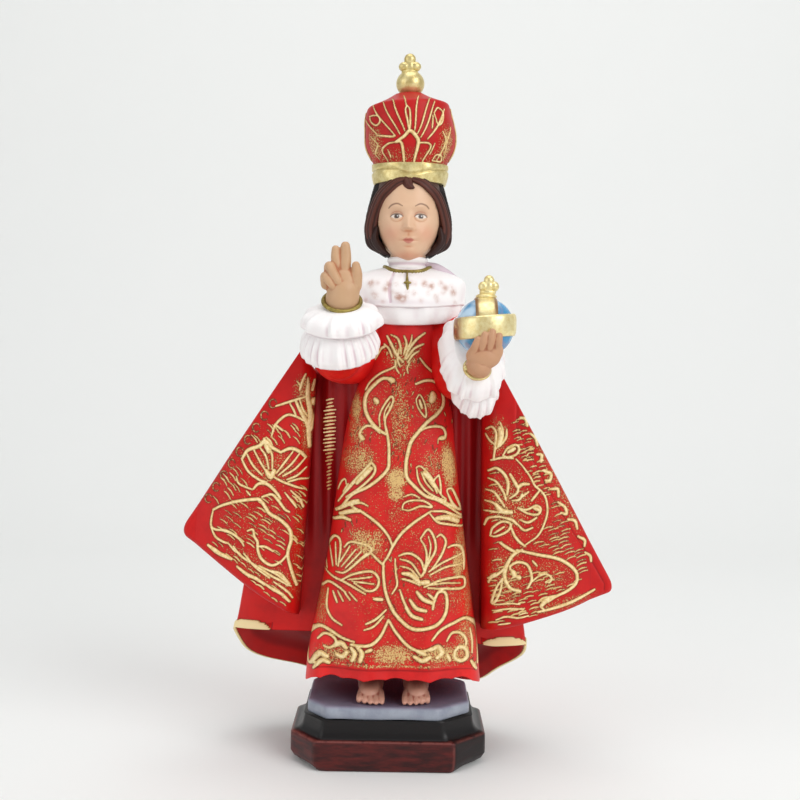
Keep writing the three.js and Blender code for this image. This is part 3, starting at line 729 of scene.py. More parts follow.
class Look(Enum):
    """The finishes of the statuette."""

    # Satin acrylic brushed on cast plaster: a warm scarlet with crimson painted shade in the folds.
    EMBROIDERED = GiltPaint("scarlet_satin_paint_dry_brushed_gold", 0.45, "DC1413", SCARLET_COATS,
                            depth=0.05, specular=0.28)
    # The dress takes a lighter scarlet, partly its own brighter red and partly painted light.
    DRESS = GiltPaint("bright_scarlet_satin_paint_dry_brushed_gold", 0.45, "E82222", SCARLET_COATS,
                      depth=0.05, specular=0.28)
    # Bronze powder lies flat in its varnish, so it shines softly and yellow, brown where thin.
    GOLD = Finish("bronze_powder_paint_brushed", 0.34, "CFB978", bronze_coats("EBDCA0", "7F6A34"),
                  (1.6, 0, 0, 4.0, 0.7), 0.08, 0.6)
    # The same powder, paler for the orb, and darker and olive for the chain and one bracelet.
    PALE_GOLD = Finish("pale_bronze_powder_paint_brushed", 0.3, "E6D08E",
                       bronze_coats("F7EAB4", "8A5A34"), (1.6, 0, 0, 4.0, 0.7), 0.08, 0.5)
    DARK_GOLD = Finish("bronze_powder_paint_dark_olive", 0.4, "7A6A34",
                      bronze_coats("A8954F", "40361C"), (1.6, 0, 0, 4.0, 0.7), 0.08, 0.6)
    # Matt white, with rose painted shade in the pleats and lilac painted shade under edges and in
    # folds, reads as soft cloth. The brown dabs stand for the tails of the fur.
    WHITE = Finish("white_matt_paint_rose_glazed", 0.55, "FBF7F6", (
        ("F3E6E6", 0.3, (5.0, 0.4, 0.75)), ("D3AEBB", 0.62, ("hollow", -0.15, 0.95)),
        ("CDB6C2", 1, ("tint",)), ("B37A60", 1, ("dab",), (1.1, 0.3, 0.55)),
        ("B37A60", 0.45, ("dab",))), (0.8,), 0.05)
    # Flesh paint airbrushed on smooth plaster is thin and satin, with warm painted shade between
    # the fingers.
    SKIN = Finish("flesh_paint_airbrushed", 0.45, "E3BF9E", flesh_coats("C97F58"), (0.9,), 0.02)
    # The hands take darker copies of the flesh paint as painted shade, the holding hand the
    # darkest.
    DEEP_SHADE_HAND = Finish("flesh_paint_deep_painted_shade", 0.48, "C99A76", flesh_coats("9A5634"), (0.9,), 0.02)
    SOFT_SHADE_HAND = Finish("flesh_paint_soft_painted_shade", 0.48, "CBA680", flesh_coats("B0663C"), (0.9,),
                       0.02)
    FEET = Finish("rose_flesh_paint_brushed", 0.48, "D9A38C", flesh_coats("9E4E3C"), (0.9,), 0.02)
    # Near-black brown locks with painted shade between; red-brown by the face, partly a painted
    # highlight.
    HAIR = Finish("brown_black_paint_on_carved_locks", 0.46, "1E1615", (
        ("281A1A", 1, (2.0, 0.45, 0.8)), ("5E3228", 1, ("warm",)),
        ("120A0B", 0.6, ("hollow", -0.6, 0.4))), (2.0,), 0.08, specular=0.28)
    # Blue and white enamel dabbed wet on a smooth ball, so the blue is clouded and glossy.
    GLOBE = Finish("blue_enamel_paint_dabbed", 0.25, "3D8FC0", (
        ("BCD6EA", 1, (8.0, 0.44, 0.6, 2.0, 0.5)), ("8A86A2", 0.7, (5.0, 0.52, 0.68, 2.0, 0.5))),
        (5.0, 0, 0, 2.0, 0.5), 0.03)
    # Blue-grey satin paint on the cast slab, with violet painted shade on its top and a painted
    # shadow by the feet.
    STONE = Finish("blue_grey_satin_paint", 0.42, "8A909F", (
        ("A0A6B2", 1, (6.0, 0.35, 0.7, 4.0)), ("8A7692", 1, ("shade",)),
        ("1C1419", 0.3, ("dark",))), (0.7,), 0.05)
    # Mahogany and black lacquer poured over a cast block, deep, and rubbed thin along its edges.
    LACQUER = Finish("mahogany_lacquer_poured", 0.4, "2E0B0C", (
        ("5A1815", 1, (6.25, 0.32, 0.72, 4.0, 0.6, 5.0)), ("0C0708", 1, ("black",)),
        ("743A34", 1, ("worn",), (2.4, 0.3, 0.55))), (6.25, 0, 0, 4.0, 0.6, 5.0), 0.08,
        specular=0.3, varnish=0.08)
    # Matt off-white paper gives the eye a pale ground with a soft shadow.
    FLOOR = Finish("pale_studio_sweep_matt", 0.9, "F0F1EF", (("F2F2F0", 1, (120.0,)),))


def settle(piece: bpy.types.Object, look: Look, hollows: tuple = (), node: str = "figure") -> None:
    """Finishes a piece, ties it to the cast body and hides the solid that it stands in for.

    Args:
        piece: The piece.
        look: Its finish.
        hollows: How its hollows are found, as in paint_hollows.
        node: The solid that it stands for.
    """
    if hollows:
        paint_hollows(piece.data, *hollows)
    piece.data.materials.append(look.value.material())
    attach(piece, "root")
    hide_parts(node)
    log.info("%s: %d points", piece.name, len(piece.data.vertices))


# Brush strokes of the embroidery: a width, and then the x and z of each point, in millimetres

ROBE_STROKES = (
    (0.9, -2, 124.3, -0.8, 122, 0.7, 119.1, 2.7, 116.9),
    (0.7, -0.9, 124.6, 1, 123.6, 1.8, 121.5, 2.1, 119.2),
    (0.8, 2.9, 124.3, 3.6, 122.1, 2.9, 119.2),
    (0.9, 8.9, 125.3, 6.6, 123.5, 4.3, 120.6, 3.2, 117.8),
    (0.8, 8.5, 122.1, 5.8, 120.7, 3.7, 117.8), (0.9, -5.4, 117.6, -3.8, 120.5, -2.3, 121.4),
    (0.7, 1.5, 120.6, 1.1, 117.7, 1.9, 115.5), (0.7, -2.8, 122, -1.4, 120.5, -0.5, 118.3),
    (0.6, 5.1, 124.6, 4.9, 122.9, 3.8, 120.6), (0.7, 7.2, 120.1, 5.5, 118.9, 4.1, 116.9),
    (0.6, 4.7, 116.9, 3.9, 115.2, 4.2, 113.8), (0.6, 0.4, 117.4, 0.7, 115.2, 1.6, 113.7),
    (0.7, 0.7, 116.9, 0.1, 115.4, -3.8, 113.5, -6.7, 111, -8, 108.7),
    (0.7, 7.5, 118.1, 9.3, 115.9, 11.3, 114.1, 12, 113),
    (1.2, -0.4, 111.9, -3, 112.1, -5.5, 110.2, -7.8, 107.2, -8, 103.5, -6.5, 100, -3.9, 97.5, -2,
        96.3), (1.6, -1.2, 112, -0.2, 111.6),
    (1, -2.2, 99.1, -1.6, 96.9, -1, 93.2, -0.9, 89.6, -1.1, 86.6, -3.4, 83.7, -6.9, 81, -11.4,
        78.5, -14.7, 74.5),
    (0.7, -3.6, 98.3, -3.8, 101.4, -2.5, 104.5, -0.6, 107, 0.1, 106, -0.8, 103.4, -2.1, 100.6,
        -1.9, 97.2), (0.5, -2.5, 100, -2.2, 102.8, -0.8, 105.4),
    (0.8, -3.6, 96.5, -5.6, 98.2, -7.6, 98.4, -9.2, 96.9, -9.3, 95.2, -8.1, 94.7),
    (1.4, -9.2, 95.6, -8.7, 94.8),
    (0.8, -15.6, 76.1, -11.4, 81.9, -7.1, 86.7, -5.9, 87.9, -4.8, 86.5, -5.4, 84.4, -8.5, 81.2,
        -13.1, 77.7), (1.6, -10, 82, -7.7, 84.6, -6, 86.3), (0.6, -14.4, 77.8, -10.6, 82.2),
    (0.6, -15.8, 79.4, -14.8, 81.7, -13.6, 82.8, -13.1, 81.4), (0.6, -14.1, 79, -12.6, 81.5),
    (1.1, 6.5, 110.7, 9.4, 111.7, 12, 111.3, 14, 109, 14.6, 105.2, 13, 102.4, 10, 99.9, 7.4, 97,
        5.3, 94.1, 4.4, 90.7, 4, 87.8, 4.3, 84.1, 6.7, 81.3, 9.9, 78.7, 15.1, 76.9, 20.3, 73.9),
    (0.6, 6.6, 106.4, 7.7, 107.6, 9.2, 104.7, 9.5, 101.3, 8, 102.7, 6.9, 104.7, 6.6, 106.4),
    (0.9, 7.6, 106.1, 8.3, 103.9), (2, 11.3, 108, 11.5, 107, 11.1, 106.1),
    (1.5, -5.2, 106.2, -4.6, 105.4),
    (0.8, 7.4, 97, 9.6, 98.2, 12.2, 98.6, 14.5, 98.1, 15.4, 96, 14.6, 95, 13.4, 95.1),
    (1.4, 13.7, 95.1, 14.9, 95.3),
    (0.7, 7, 87, 8.3, 87.2, 10.9, 84.6, 12.4, 82, 14.3, 78.9, 15.7, 77.7),
    (0.7, 7, 86.7, 7.7, 83.1, 9.8, 80.2, 12.7, 78.4, 15.7, 77.2),
    (1.6, 9.2, 85.3, 10.9, 83.6, 12.1, 81.6), (0.6, 8.3, 85.6, 9.8, 82.5, 11.9, 80.1),
    (0.7, 13.5, 84.7, 12, 82.8, 13, 79.5), (0.7, 13.5, 84.7, 14, 82.1, 14.2, 79.5),
    (0.8, 16, 79.7, 16.1, 80.4, 17.5, 80.4, 19.1, 77.3, 20.8, 73.5),
    (0.8, 16, 79.7, 17.5, 76.6, 19.4, 74.3), (0.7, 12.8, 77.5, 16.3, 75.6, 20.8, 72.1),
    (0.9, -11.9, 75.5, -7.5, 73.3, -3.4, 70.3, -0.8, 67.3, 0.4, 64.7),
    (0.9, 11.4, 74.4, 7.1, 71.6, 3.2, 68.2, 0.7, 64.5, -0.7, 61.6, -2, 59.6),
    (0.7, 3.1, 74.9, 3.6, 76.6, 5.9, 77.5, 9.3, 77.3, 11.6, 75.6, 8.2, 75.8, 5.3, 74.7, 3.1, 74.9),
    (0.6, 3.3, 78.4, 5.8, 79.2, 8.1, 78.2), (1.7, 13.1, 72.3, 16.4, 72.3, 19.4, 70.9),
    (0.8, 11.7, 74.4, 15.7, 74, 21.1, 71.3), (0.8, 11.1, 73.6, 13.4, 71.2, 17, 70.3, 21.2, 69.1),
    (1.3, -16.2, 73.6, -11.9, 76.1, -9.6, 77), (1.4, -14.9, 72.8, -11.3, 73.9, -9, 74.1),
    (1.1, -17.2, 70.8, -14.2, 71.8, -11.8, 71.3), (0.7, -13.4, 75.2, -9, 76.4, -6.7, 75.6),
    (1.1, -2, 59.6, -1.9, 55.7, -1.1, 50.9, 1, 46.1, 3.6, 43.1, 6.4, 41.2, 9.6, 41.1, 13.5, 42.2,
        15.8, 44.8, 16.4, 48.4, 15.7, 51.2, 13.8, 51.3, 12.6, 48.7, 12.3, 46.7),
    (0.8, -5.9, 62.6, -3.6, 60.4, -1.8, 58.8), (0.7, 1.3, 60.8, 1.6, 56.6, 2, 53.5, 0.6, 50.9),
    (0.8, 8.8, 55.8, 10.9, 59.7, 12.8, 63.3, 12.4, 66.7, 10.6, 69.2, 8.5, 66.7),
    (0.7, 8.6, 66.2, 9.9, 64, 10.3, 60.6, 9.3, 56.1), (0.6, 10.7, 67.3, 11.4, 63.7, 9.9, 56.9),
    (0.8, 13.2, 67, 14.4, 67.6, 15.8, 65.7, 15, 62.7, 13.3, 59.9),
    (0.9, 16.5, 63.8, 18.2, 64.3, 20.4, 63.5, 21.4, 60.5, 21.4, 57),
    (0.7, 21.1, 61.7, 15.3, 59.8, 10.9, 57.2), (0.7, 21.4, 58.8, 15.9, 58.3, 11.3, 56.3),
    (0.6, 15.9, 64.6, 14.4, 61.3, 11.6, 57.7),
    (0.8, 9.7, 52.9, 13.7, 54.5, 17.7, 55.1, 21.1, 54.8, 21.8, 52.9, 20.8, 51.8, 15.4, 52.3, 10.8,
        52.6), (0.6, 11.4, 53.5, 16, 53.8, 20.2, 53.3),
    (0.8, 2.4, 61.7, 4.4, 62.4, 6.4, 62.1, 8.7, 60.3, 9.6, 57.7),
    (0.7, 2.7, 60.8, 5.9, 59.7, 8.5, 56.2), (0.6, 2.7, 58.8, 5.6, 58, 8.2, 55.5),
    (1.4, 3.6, 56.7, 5.9, 56.3, 8.2, 54.4), (0.8, 3.4, 55.2, 5.9, 54.6, 8.5, 53.5),
    (1.5, 8.8, 54.1, 10.8, 54.3), (1.3, 7.7, 51.5, 9.4, 49.6, 12, 48.4),
    (1.2, 5.7, 49.3, 7.5, 47, 10.3, 46.2), (1.2, 4.6, 47, 6.4, 44.8, 9.2, 43.9),
    (0.8, 2.8, 52.1, 4, 48.7, 5.8, 45.6), (0.9, 10.8, 51, 12.9, 49.2),
    (0.8, -18.6, 56.5, -19.3, 60.8, -16.9, 65.7, -15, 65.7, -14.5, 63, -15.1, 57.8),
    (0.6, -17.9, 62.9, -16.7, 57.5), (0.6, -16.1, 64.4, -15.7, 58),
    (0.8, -15.7, 56.2, -13, 56.4, -8.7, 60.2, -5.6, 62.7, -6.5, 64.3, -11.4, 65.1, -13.4, 63.4),
    (0.6, -14.2, 57.7, -9.9, 63.2), (0.6, -13, 57.5, -8.2, 62.8), (0.6, -12.1, 57.1, -6.7, 62.3),
    (0.6, -14.6, 59, -11.7, 63.9),
    (0.8, -14, 54.1, -10.4, 56.1, -5.5, 57.1, -3.3, 55.1, -3.8, 52.5, -6.3, 51.6, -10.3, 53.6),
    (0.6, -12.1, 54.4, -5.2, 55.6), (0.6, -10.9, 54.1, -4.6, 53.6),
    (0.8, -19.5, 56.1, -16.1, 54.5, -12.8, 53.5, -7, 50.7),
    (0.8, -20.2, 51, -17.8, 53, -14.8, 52, -12.7, 50.7),
    (0.8, -18, 51, -18.3, 46.2, -16.7, 43.1, -13.7, 41.4), (0.8, -16.5, 50.6, -15.2, 47.7),
    (0.7, -15, 50.8, -13.4, 48.2), (0.7, -13.5, 51.3, -11.4, 48.7), (0.6, -11.7, 50.9, -9.4, 48.6),
    (1.1, -4.5, 49.4, -2.2, 49.3), (0.8, -1, 46.4, -3.8, 43.8, -6.7, 42.3),
    (0.7, -1.6, 44.7, -4.4, 41.8, -7.2, 40.6),
    (1, -0.3, 43.6, -2.4, 39.1, -5.1, 36.6, -8.3, 36.1, -10.9, 36.3),
    (1, -0.3, 43.6, 1.9, 40, 5.6, 36.1, 9.2, 34.8, 12.2, 35.8),
    (1, -10, 37.1, -13.7, 38, -17.1, 39.6, -20.3, 40.2, -23.2, 37.4, -24.2, 33.6, -23.7, 30.3,
        -21.2, 30),
    (0.9, -20.8, 36.6, -18.6, 38.5, -16.1, 37.9, -15.2, 36.3, -17, 34.6, -18.8, 35),
    (1, 12.2, 38, 14.7, 40.7, 18.4, 42.3, 22.1, 43.1, 25.2, 40.2, 26.1, 35.6, 26, 30.4),
    (0.9, 16.5, 37.5, 17.9, 39.5, 20.3, 39.3, 22.1, 37.2, 21.9, 35.1, 19.8, 34.9),
    (0.7, 23.4, 39.9, 24.1, 36.3, 24.1, 33), (1.8, -22.6, 30.2, -20, 32.7, -17.8, 31.9),
    (1.5, -21.8, 28.6, -19.3, 30.7, -17.2, 30.1), (1.6, -15.8, 35.3, -13.8, 36.4, -12.3, 35.2),
    (1.6, -15.1, 32.9, -13.4, 32.3, -12, 33.8), (1.5, -10.8, 35.3, -9.7, 33.5, -10.5, 31.4),
    (1.5, -9.1, 35.7, -7.7, 33.9, -8.2, 31.3), (1.2, -6.5, 34.5, -5.1, 35.1),
    (1.5, 7.1, 33.1, 9.4, 31.9, 11.7, 33), (1.6, 11.6, 35.2, 13.9, 36, 15.1, 34.2, 13.7, 32.7),
    (1.4, 7.7, 35, 10.2, 33.9),
    (1.3, 18.9, 34.2, 20.3, 35.4, 22.2, 34.2, 22.5, 32.1, 20.7, 31.1, 18.9, 32.2, 18.9, 34.2),
    (1.2, 16.5, 33.6, 17.4, 31.6), (1.2, 23.8, 30.9, 25.4, 29.1),
)
LEFT_STROKES = (
    (0.8, -25.3, 113, -26.1, 110.9, -26.9, 108.4), (0.8, -24.7, 111.8, -24.7, 108.4),
    (0.8, -23, 111.4, -23.6, 108.3), (0.6, -27.7, 110.9, -26.4, 109.3),
    (1.3, -24.6, 110.2, -24.8, 106.5, -24.1, 101.5, -24.5, 96.6, -24.3, 91.8),
    (1, -22.7, 105.2, -22.9, 101.1, -24, 96.5), (2.2, -23, 105.4, -22.9, 104.8),
    (0.8, -25.1, 106.5, -28.7, 105.3, -33.5, 103.7),
    (1.1, -28.1, 105.5, -26.8, 102.6, -25.1, 99.1, -24.5, 96.6),
    (0.8, -25.1, 99.1, -27.8, 100.7, -30.5, 101.1, -33.5, 98.5, -34.7, 95.2),
    (0.7, -29.6, 104.4, -28.4, 102.3, -27.8, 100.7), (0.6, -27, 105.9, -26, 102.9, -24.8, 100.8),
    (0.7, -44.7, 83.2, -43.9, 81.2, -40, 79.6),
    (0.8, -43.3, 88.5, -41.3, 84.9, -38.2, 82.5, -36, 81.8),
    (0.7, -42, 90.4, -40.1, 86.8, -37.3, 83.8), (0.7, -39.8, 91.2, -38.1, 88, -36.2, 84.9),
    (0.7, -38.2, 92, -36.3, 89.3, -35.4, 85.6), (0.7, -36.5, 93.1, -34.6, 89.9, -34.4, 85.5),
    (1.2, -43.1, 88.4, -41.4, 90.9, -38.3, 92.1, -36.5, 93.6, -34.5, 91.8, -32.1, 90.4),
    (1.3, -36.8, 94.2, -36.3, 92.4, -35.5, 90.5),
    (1.1, -32.1, 90.4, -29.2, 91.5, -26.7, 90.5, -25.2, 88.8),
    (0.7, -28.6, 90.6, -30.9, 87.5, -33.2, 84.4), (0.7, -26.8, 89.9, -29.1, 86.9, -32.6, 83.8),
    (0.7, -25.4, 88.4, -27.9, 85.6, -31.4, 83.5), (0.7, -25, 85.8, -27.3, 83.7, -30.2, 82.5),
    (0.7, -24.5, 82.3, -26.7, 82.6, -29.8, 81.9),
    (0.8, -25.5, 79.4, -28.5, 80.7, -31.5, 81.9, -33.9, 83.2),
    (1, -39.7, 79.8, -38.2, 81.3, -35.7, 81.1, -33.3, 78.9, -32, 77),
    (0.9, -37.2, 77.5, -34.5, 78.2, -32.6, 76.4, -30.8, 73.9, -29.5, 73.1),
    (0.7, -29.1, 79.3, -26.7, 76.7, -25.8, 74), (0.7, -30.8, 78.7, -28.4, 75.6, -27.5, 74.3),
    (1.6, -36.1, 85, -34.8, 83.3, -33.9, 85), (0.6, -41.7, 79.2, -40.6, 78),
    (1.1, -51.7, 73.2, -48.8, 74.7, -44.3, 76.1, -39.6, 76.8, -37.8, 76.6, -36.2, 74.5, -34.9,
        72.6, -32, 70.8, -29.4, 68, -28.9, 64.9, -29.8, 60.9, -28.8, 56.2, -27.4, 51.2),
    (0.8, -51.7, 73.2, -52.2, 70.8, -52.3, 68.6, -51, 67.5, -47.7, 67.4, -44.5, 66, -42.5, 63.8),
    (0.8, -52.3, 68, -50.8, 65.3, -48.3, 64, -47, 63.8),
    (0.7, -50, 67.5, -46.1, 66.7, -43.2, 64.8, -42.3, 63.3),
    (0.9, -41.2, 67.7, -39.7, 68.1, -39.2, 66, -38.3, 64.5, -38.2, 62.2, -37, 59.5, -34.2, 57.7,
        -31.7, 58.7, -29.9, 60.7), (0.8, -38.2, 63.3, -36.1, 63.1, -33.9, 61.8),
    (0.8, -45.4, 63, -43.5, 60.7, -40.9, 58.9), (0.7, -47, 63.8, -44.7, 61.4),
    (0.7, -40.1, 58.7, -34.2, 54.6, -28.8, 51.3), (0.7, -37.8, 57.7, -33, 55.1, -29.2, 52),
    (0.8, -34.1, 56.1, -31.7, 55.1, -29.2, 52.1), (0.7, -42.3, 61.2, -39.1, 57.5, -34.8, 54.1),
    (0.7, -33.6, 52.9, -29.9, 50, -28.4, 47.7), (1.3, -53.1, 62.8, -49.9, 60.7, -46, 59.3),
    (1.1, -44.2, 57.2, -41.6, 55.3, -39, 54.1, -36, 52.3),
    (1, -36, 52.3, -34, 50.9, -31.1, 49, -29.2, 46.8), (0.6, -51.3, 62.2, -48.6, 60.2),
    (0.7, -33.8, 98.5, -31.6, 96.7),
)
RIGHT_STROKES = (
    (0.8, 27.2, 97.8, 28.6, 98.6, 29.8, 97, 29.7, 93.7, 29.3, 89.3),
    (1.7, 30.8, 98.3, 31.3, 96, 30.6, 93.6), (0.7, 30.9, 100, 31.8, 97.1, 31.1, 93.8, 29.8, 92.2),
    (0.8, 32.8, 98, 32.6, 95.5, 31, 93.1), (0.7, 27.1, 96.4, 28.1, 94.7, 29.5, 93.5),
    (0.8, 31.9, 90.5, 33.2, 92.6, 35.4, 93.6, 36.4, 92.6, 35.7, 90.9, 33.3, 90, 31.9, 90.5),
    (1.2, 33.3, 91.4, 35.1, 92.5), (0.8, 28.6, 88.9, 31.6, 89.8, 34.7, 89.7),
    (0.7, 35.6, 89.5, 37.5, 87.5, 39.7, 84.6, 41.2, 81.9, 43.2, 80.2, 44.5, 77.9, 44.9, 74.4, 44,
        70.8, 42.3, 67.5, 39.6, 65.4, 38.4, 64.4), (0.8, 42.4, 80.4, 41.1, 78.7, 40.3, 77.7),
    (1, 28, 85.8, 30.1, 86.7, 32.4, 85, 33.5, 82.3, 33.3, 79.2),
    (0.8, 28, 83.6, 30.1, 82.8, 32.2, 79.9, 33, 77.5),
    (0.8, 27.5, 80.2, 29.6, 79.7, 31.4, 77.4, 32.6, 75.7),
    (0.8, 27.3, 76.9, 29.2, 76.7, 31.5, 75.1), (0.7, 27.1, 73.9, 28.7, 74.1, 31.5, 73.9),
    (1.6, 30.1, 76.3, 31.9, 74.4, 34.5, 74.1),
    (0.8, 27.2, 69.6, 28.2, 71.9, 30.8, 72.7, 32.8, 72.4),
    (0.8, 28.8, 66.9, 29.4, 69.3, 32, 71.3, 34.4, 70.7, 33.7, 68.7, 30.5, 67, 28.8, 66.9),
    (0.7, 29.8, 67.8, 32.6, 69.8), (1.1, 34, 85.1, 35.3, 83, 36.3, 81.5, 37.6, 82.3, 39.3, 82.4),
    (0.8, 34.1, 78.1, 36.2, 79.9, 36.3, 81.8), (0.8, 34.8, 77.5, 36.7, 77.8, 37.6, 79.4),
    (0.7, 37.1, 78.3, 39.3, 80.1),
    (0.8, 36.4, 75.4, 39, 75, 41.5, 76.2, 42.9, 75.4, 42.2, 73.7, 39.3, 73.9, 36.4, 75.4),
    (1.2, 41, 75.5, 42.5, 75), (0.8, 37.1, 72, 39.4, 71.3, 41.8, 72.7),
    (0.8, 36.4, 70.7, 38.4, 69, 40.7, 69.8), (1, 32.8, 72.4, 34.8, 71.9, 36.2, 70.7),
    (0.9, 34.7, 69.5, 35.7, 67.2, 37.2, 65.5, 38.6, 64.4), (1, 31.5, 65.2, 33.8, 63.7, 36, 62.6),
    (1.1, 36.4, 63.2, 42.4, 62, 47.8, 61, 51.4, 59.2, 53.9, 56.7, 54, 53.7, 51.6, 51.6, 48, 49.9,
        45.6, 48.3), (1.6, 47.7, 49.9, 45.3, 48.8, 43.9, 47.3),
    (1.2, 37.9, 63.3, 35.3, 61.7, 33.5, 58.5, 33, 55.3, 34.6, 52.2, 37.5, 51.4),
    (0.9, 33.5, 58.4, 31.1, 56, 28.5, 54.3), (0.8, 28.6, 53.1, 29.2, 54.9, 30.3, 56.1),
    (0.8, 32.4, 54.8, 30.7, 51.9, 29.5, 47.5, 30.7, 48.3, 31.9, 51.4, 32.4, 54.8),
    (0.9, 35.2, 56.7, 34.5, 58.4, 36.7, 59.7, 39.1, 59.2, 40.3, 57.5, 40.8, 54.7, 39.7, 52.2),
    (1.6, 35.2, 57.1, 35.8, 56), (1.4, 36.6, 55.5, 37.2, 55.2), (0.7, 40.9, 60.2, 42.2, 58.8),
    (0.7, 40.9, 54.1, 42.6, 55.6, 44.9, 56.4, 46.5, 55.3, 46.1, 54.1, 44.8, 54),
    (1, 42.8, 45.3, 45.7, 46, 49.3, 47, 53.6, 48.5, 58.5, 50.6, 59.7, 51.3),
    (0.7, 43.4, 46.9, 44.6, 46), (0.7, 30.8, 42.6, 33.6, 43.8, 37.1, 43.6, 40, 44.2),
    (0.6, 29.7, 45.2, 34.7, 46.2, 38.7, 46.1), (0.6, 30.2, 47, 34.7, 47.7, 37.5, 47.5),
    (0.6, 31.4, 41.3, 34.8, 42), (1, 36.6, 101.5, 38.1, 101.1, 38.6, 99.2),
    (1, 39.6, 96.9, 41.1, 95.6, 41.6, 93.6), (1, 41.6, 91, 42.9, 90.8, 42.8, 88.9),
    (1, 43.7, 86.2, 45.7, 85.5, 45.5, 83.6, 44.2, 83.5), (1, 45.7, 81, 47.8, 81, 48.1, 78.9),
    (1, 48, 77.2, 50.1, 75.7, 50.6, 73.8, 49, 74.1), (1, 51.1, 72.2, 53.2, 71.7, 54, 69.4),
    (1, 54.3, 67.1, 56.4, 65.9, 56.4, 64.2), (0.9, 56.6, 62.3, 58.2, 61.2, 58.6, 59.6),
)
CROWN_STROKES = (
    (0.6, -12.2, 192.3, -4.2, 181.9), (0.6, -4.8, 193.3, -1.6, 183.2), (0.6, 3, 194.3, 1, 183.3),
    (0.6, 8.2, 192, 2.7, 181.4), (0.5, -1.4, 194.5, -0.6, 190.5), (0.6, -8, 192.7, -2.9, 182.3),
    (0.6, 6.8, 193.5, 1.8, 182.4), (0.6, -16, 188.6, -9.9, 182.9),
    (1.2, -4.1, 180.1, -1.8, 181.6, -0.2, 183.2, 1.6, 181.4, 2.1, 179.7, 1.2, 174.7),
    (1, -4.1, 180.1, -2.5, 179.7, -2, 174.5), (0.7, 2.1, 179.9, 5, 179.9, 5.8, 178.6, 3.9, 174.8),
    (0.7, -4.1, 180.1, -6.6, 179.7, -9, 177.9, -7.7, 174.9),
    (0.8, -10, 182.6, -5.4, 181.7, -4.2, 181.9),
    (0.7, -13.2, 189.3, -9.6, 188.7, -8.7, 186.9, -10.3, 185.8, -12.6, 187.5, -13.2, 189.3),
    (0.6, -12.9, 182.9, -10.1, 179.8, -12.4, 177.4, -11.5, 175.9),
    (0.7, -0.4, 190.5, 0.3, 189.3, 0.1, 186.5, -0.4, 183.7, -0.7, 186.5, -0.9, 189.3, -0.4, 190.5),
    (0.7, 4.6, 181, 7.2, 184.2, 9.5, 187.1, 11.9, 190.1),
    (0.7, 7.3, 188.4, 9, 190.1, 10.8, 189, 9.8, 186.4, 8, 185.3, 7.3, 188.4),
    (0.6, 6.8, 187.9, 5.9, 184.1), (0.7, 9.4, 183.6, 10.7, 181, 9.4, 175.5),
    (0.7, 7.5, 175.3, 8.5, 177, 10.8, 176.8, 11.3, 175.3, 7.5, 175.3),
    (0.6, 13.2, 185.2, 11.3, 180.7, 12.5, 175.9), (0.6, -6.9, 178.1, -6.4, 176),
    (0.6, 7, 180.1, 6.1, 177),
)


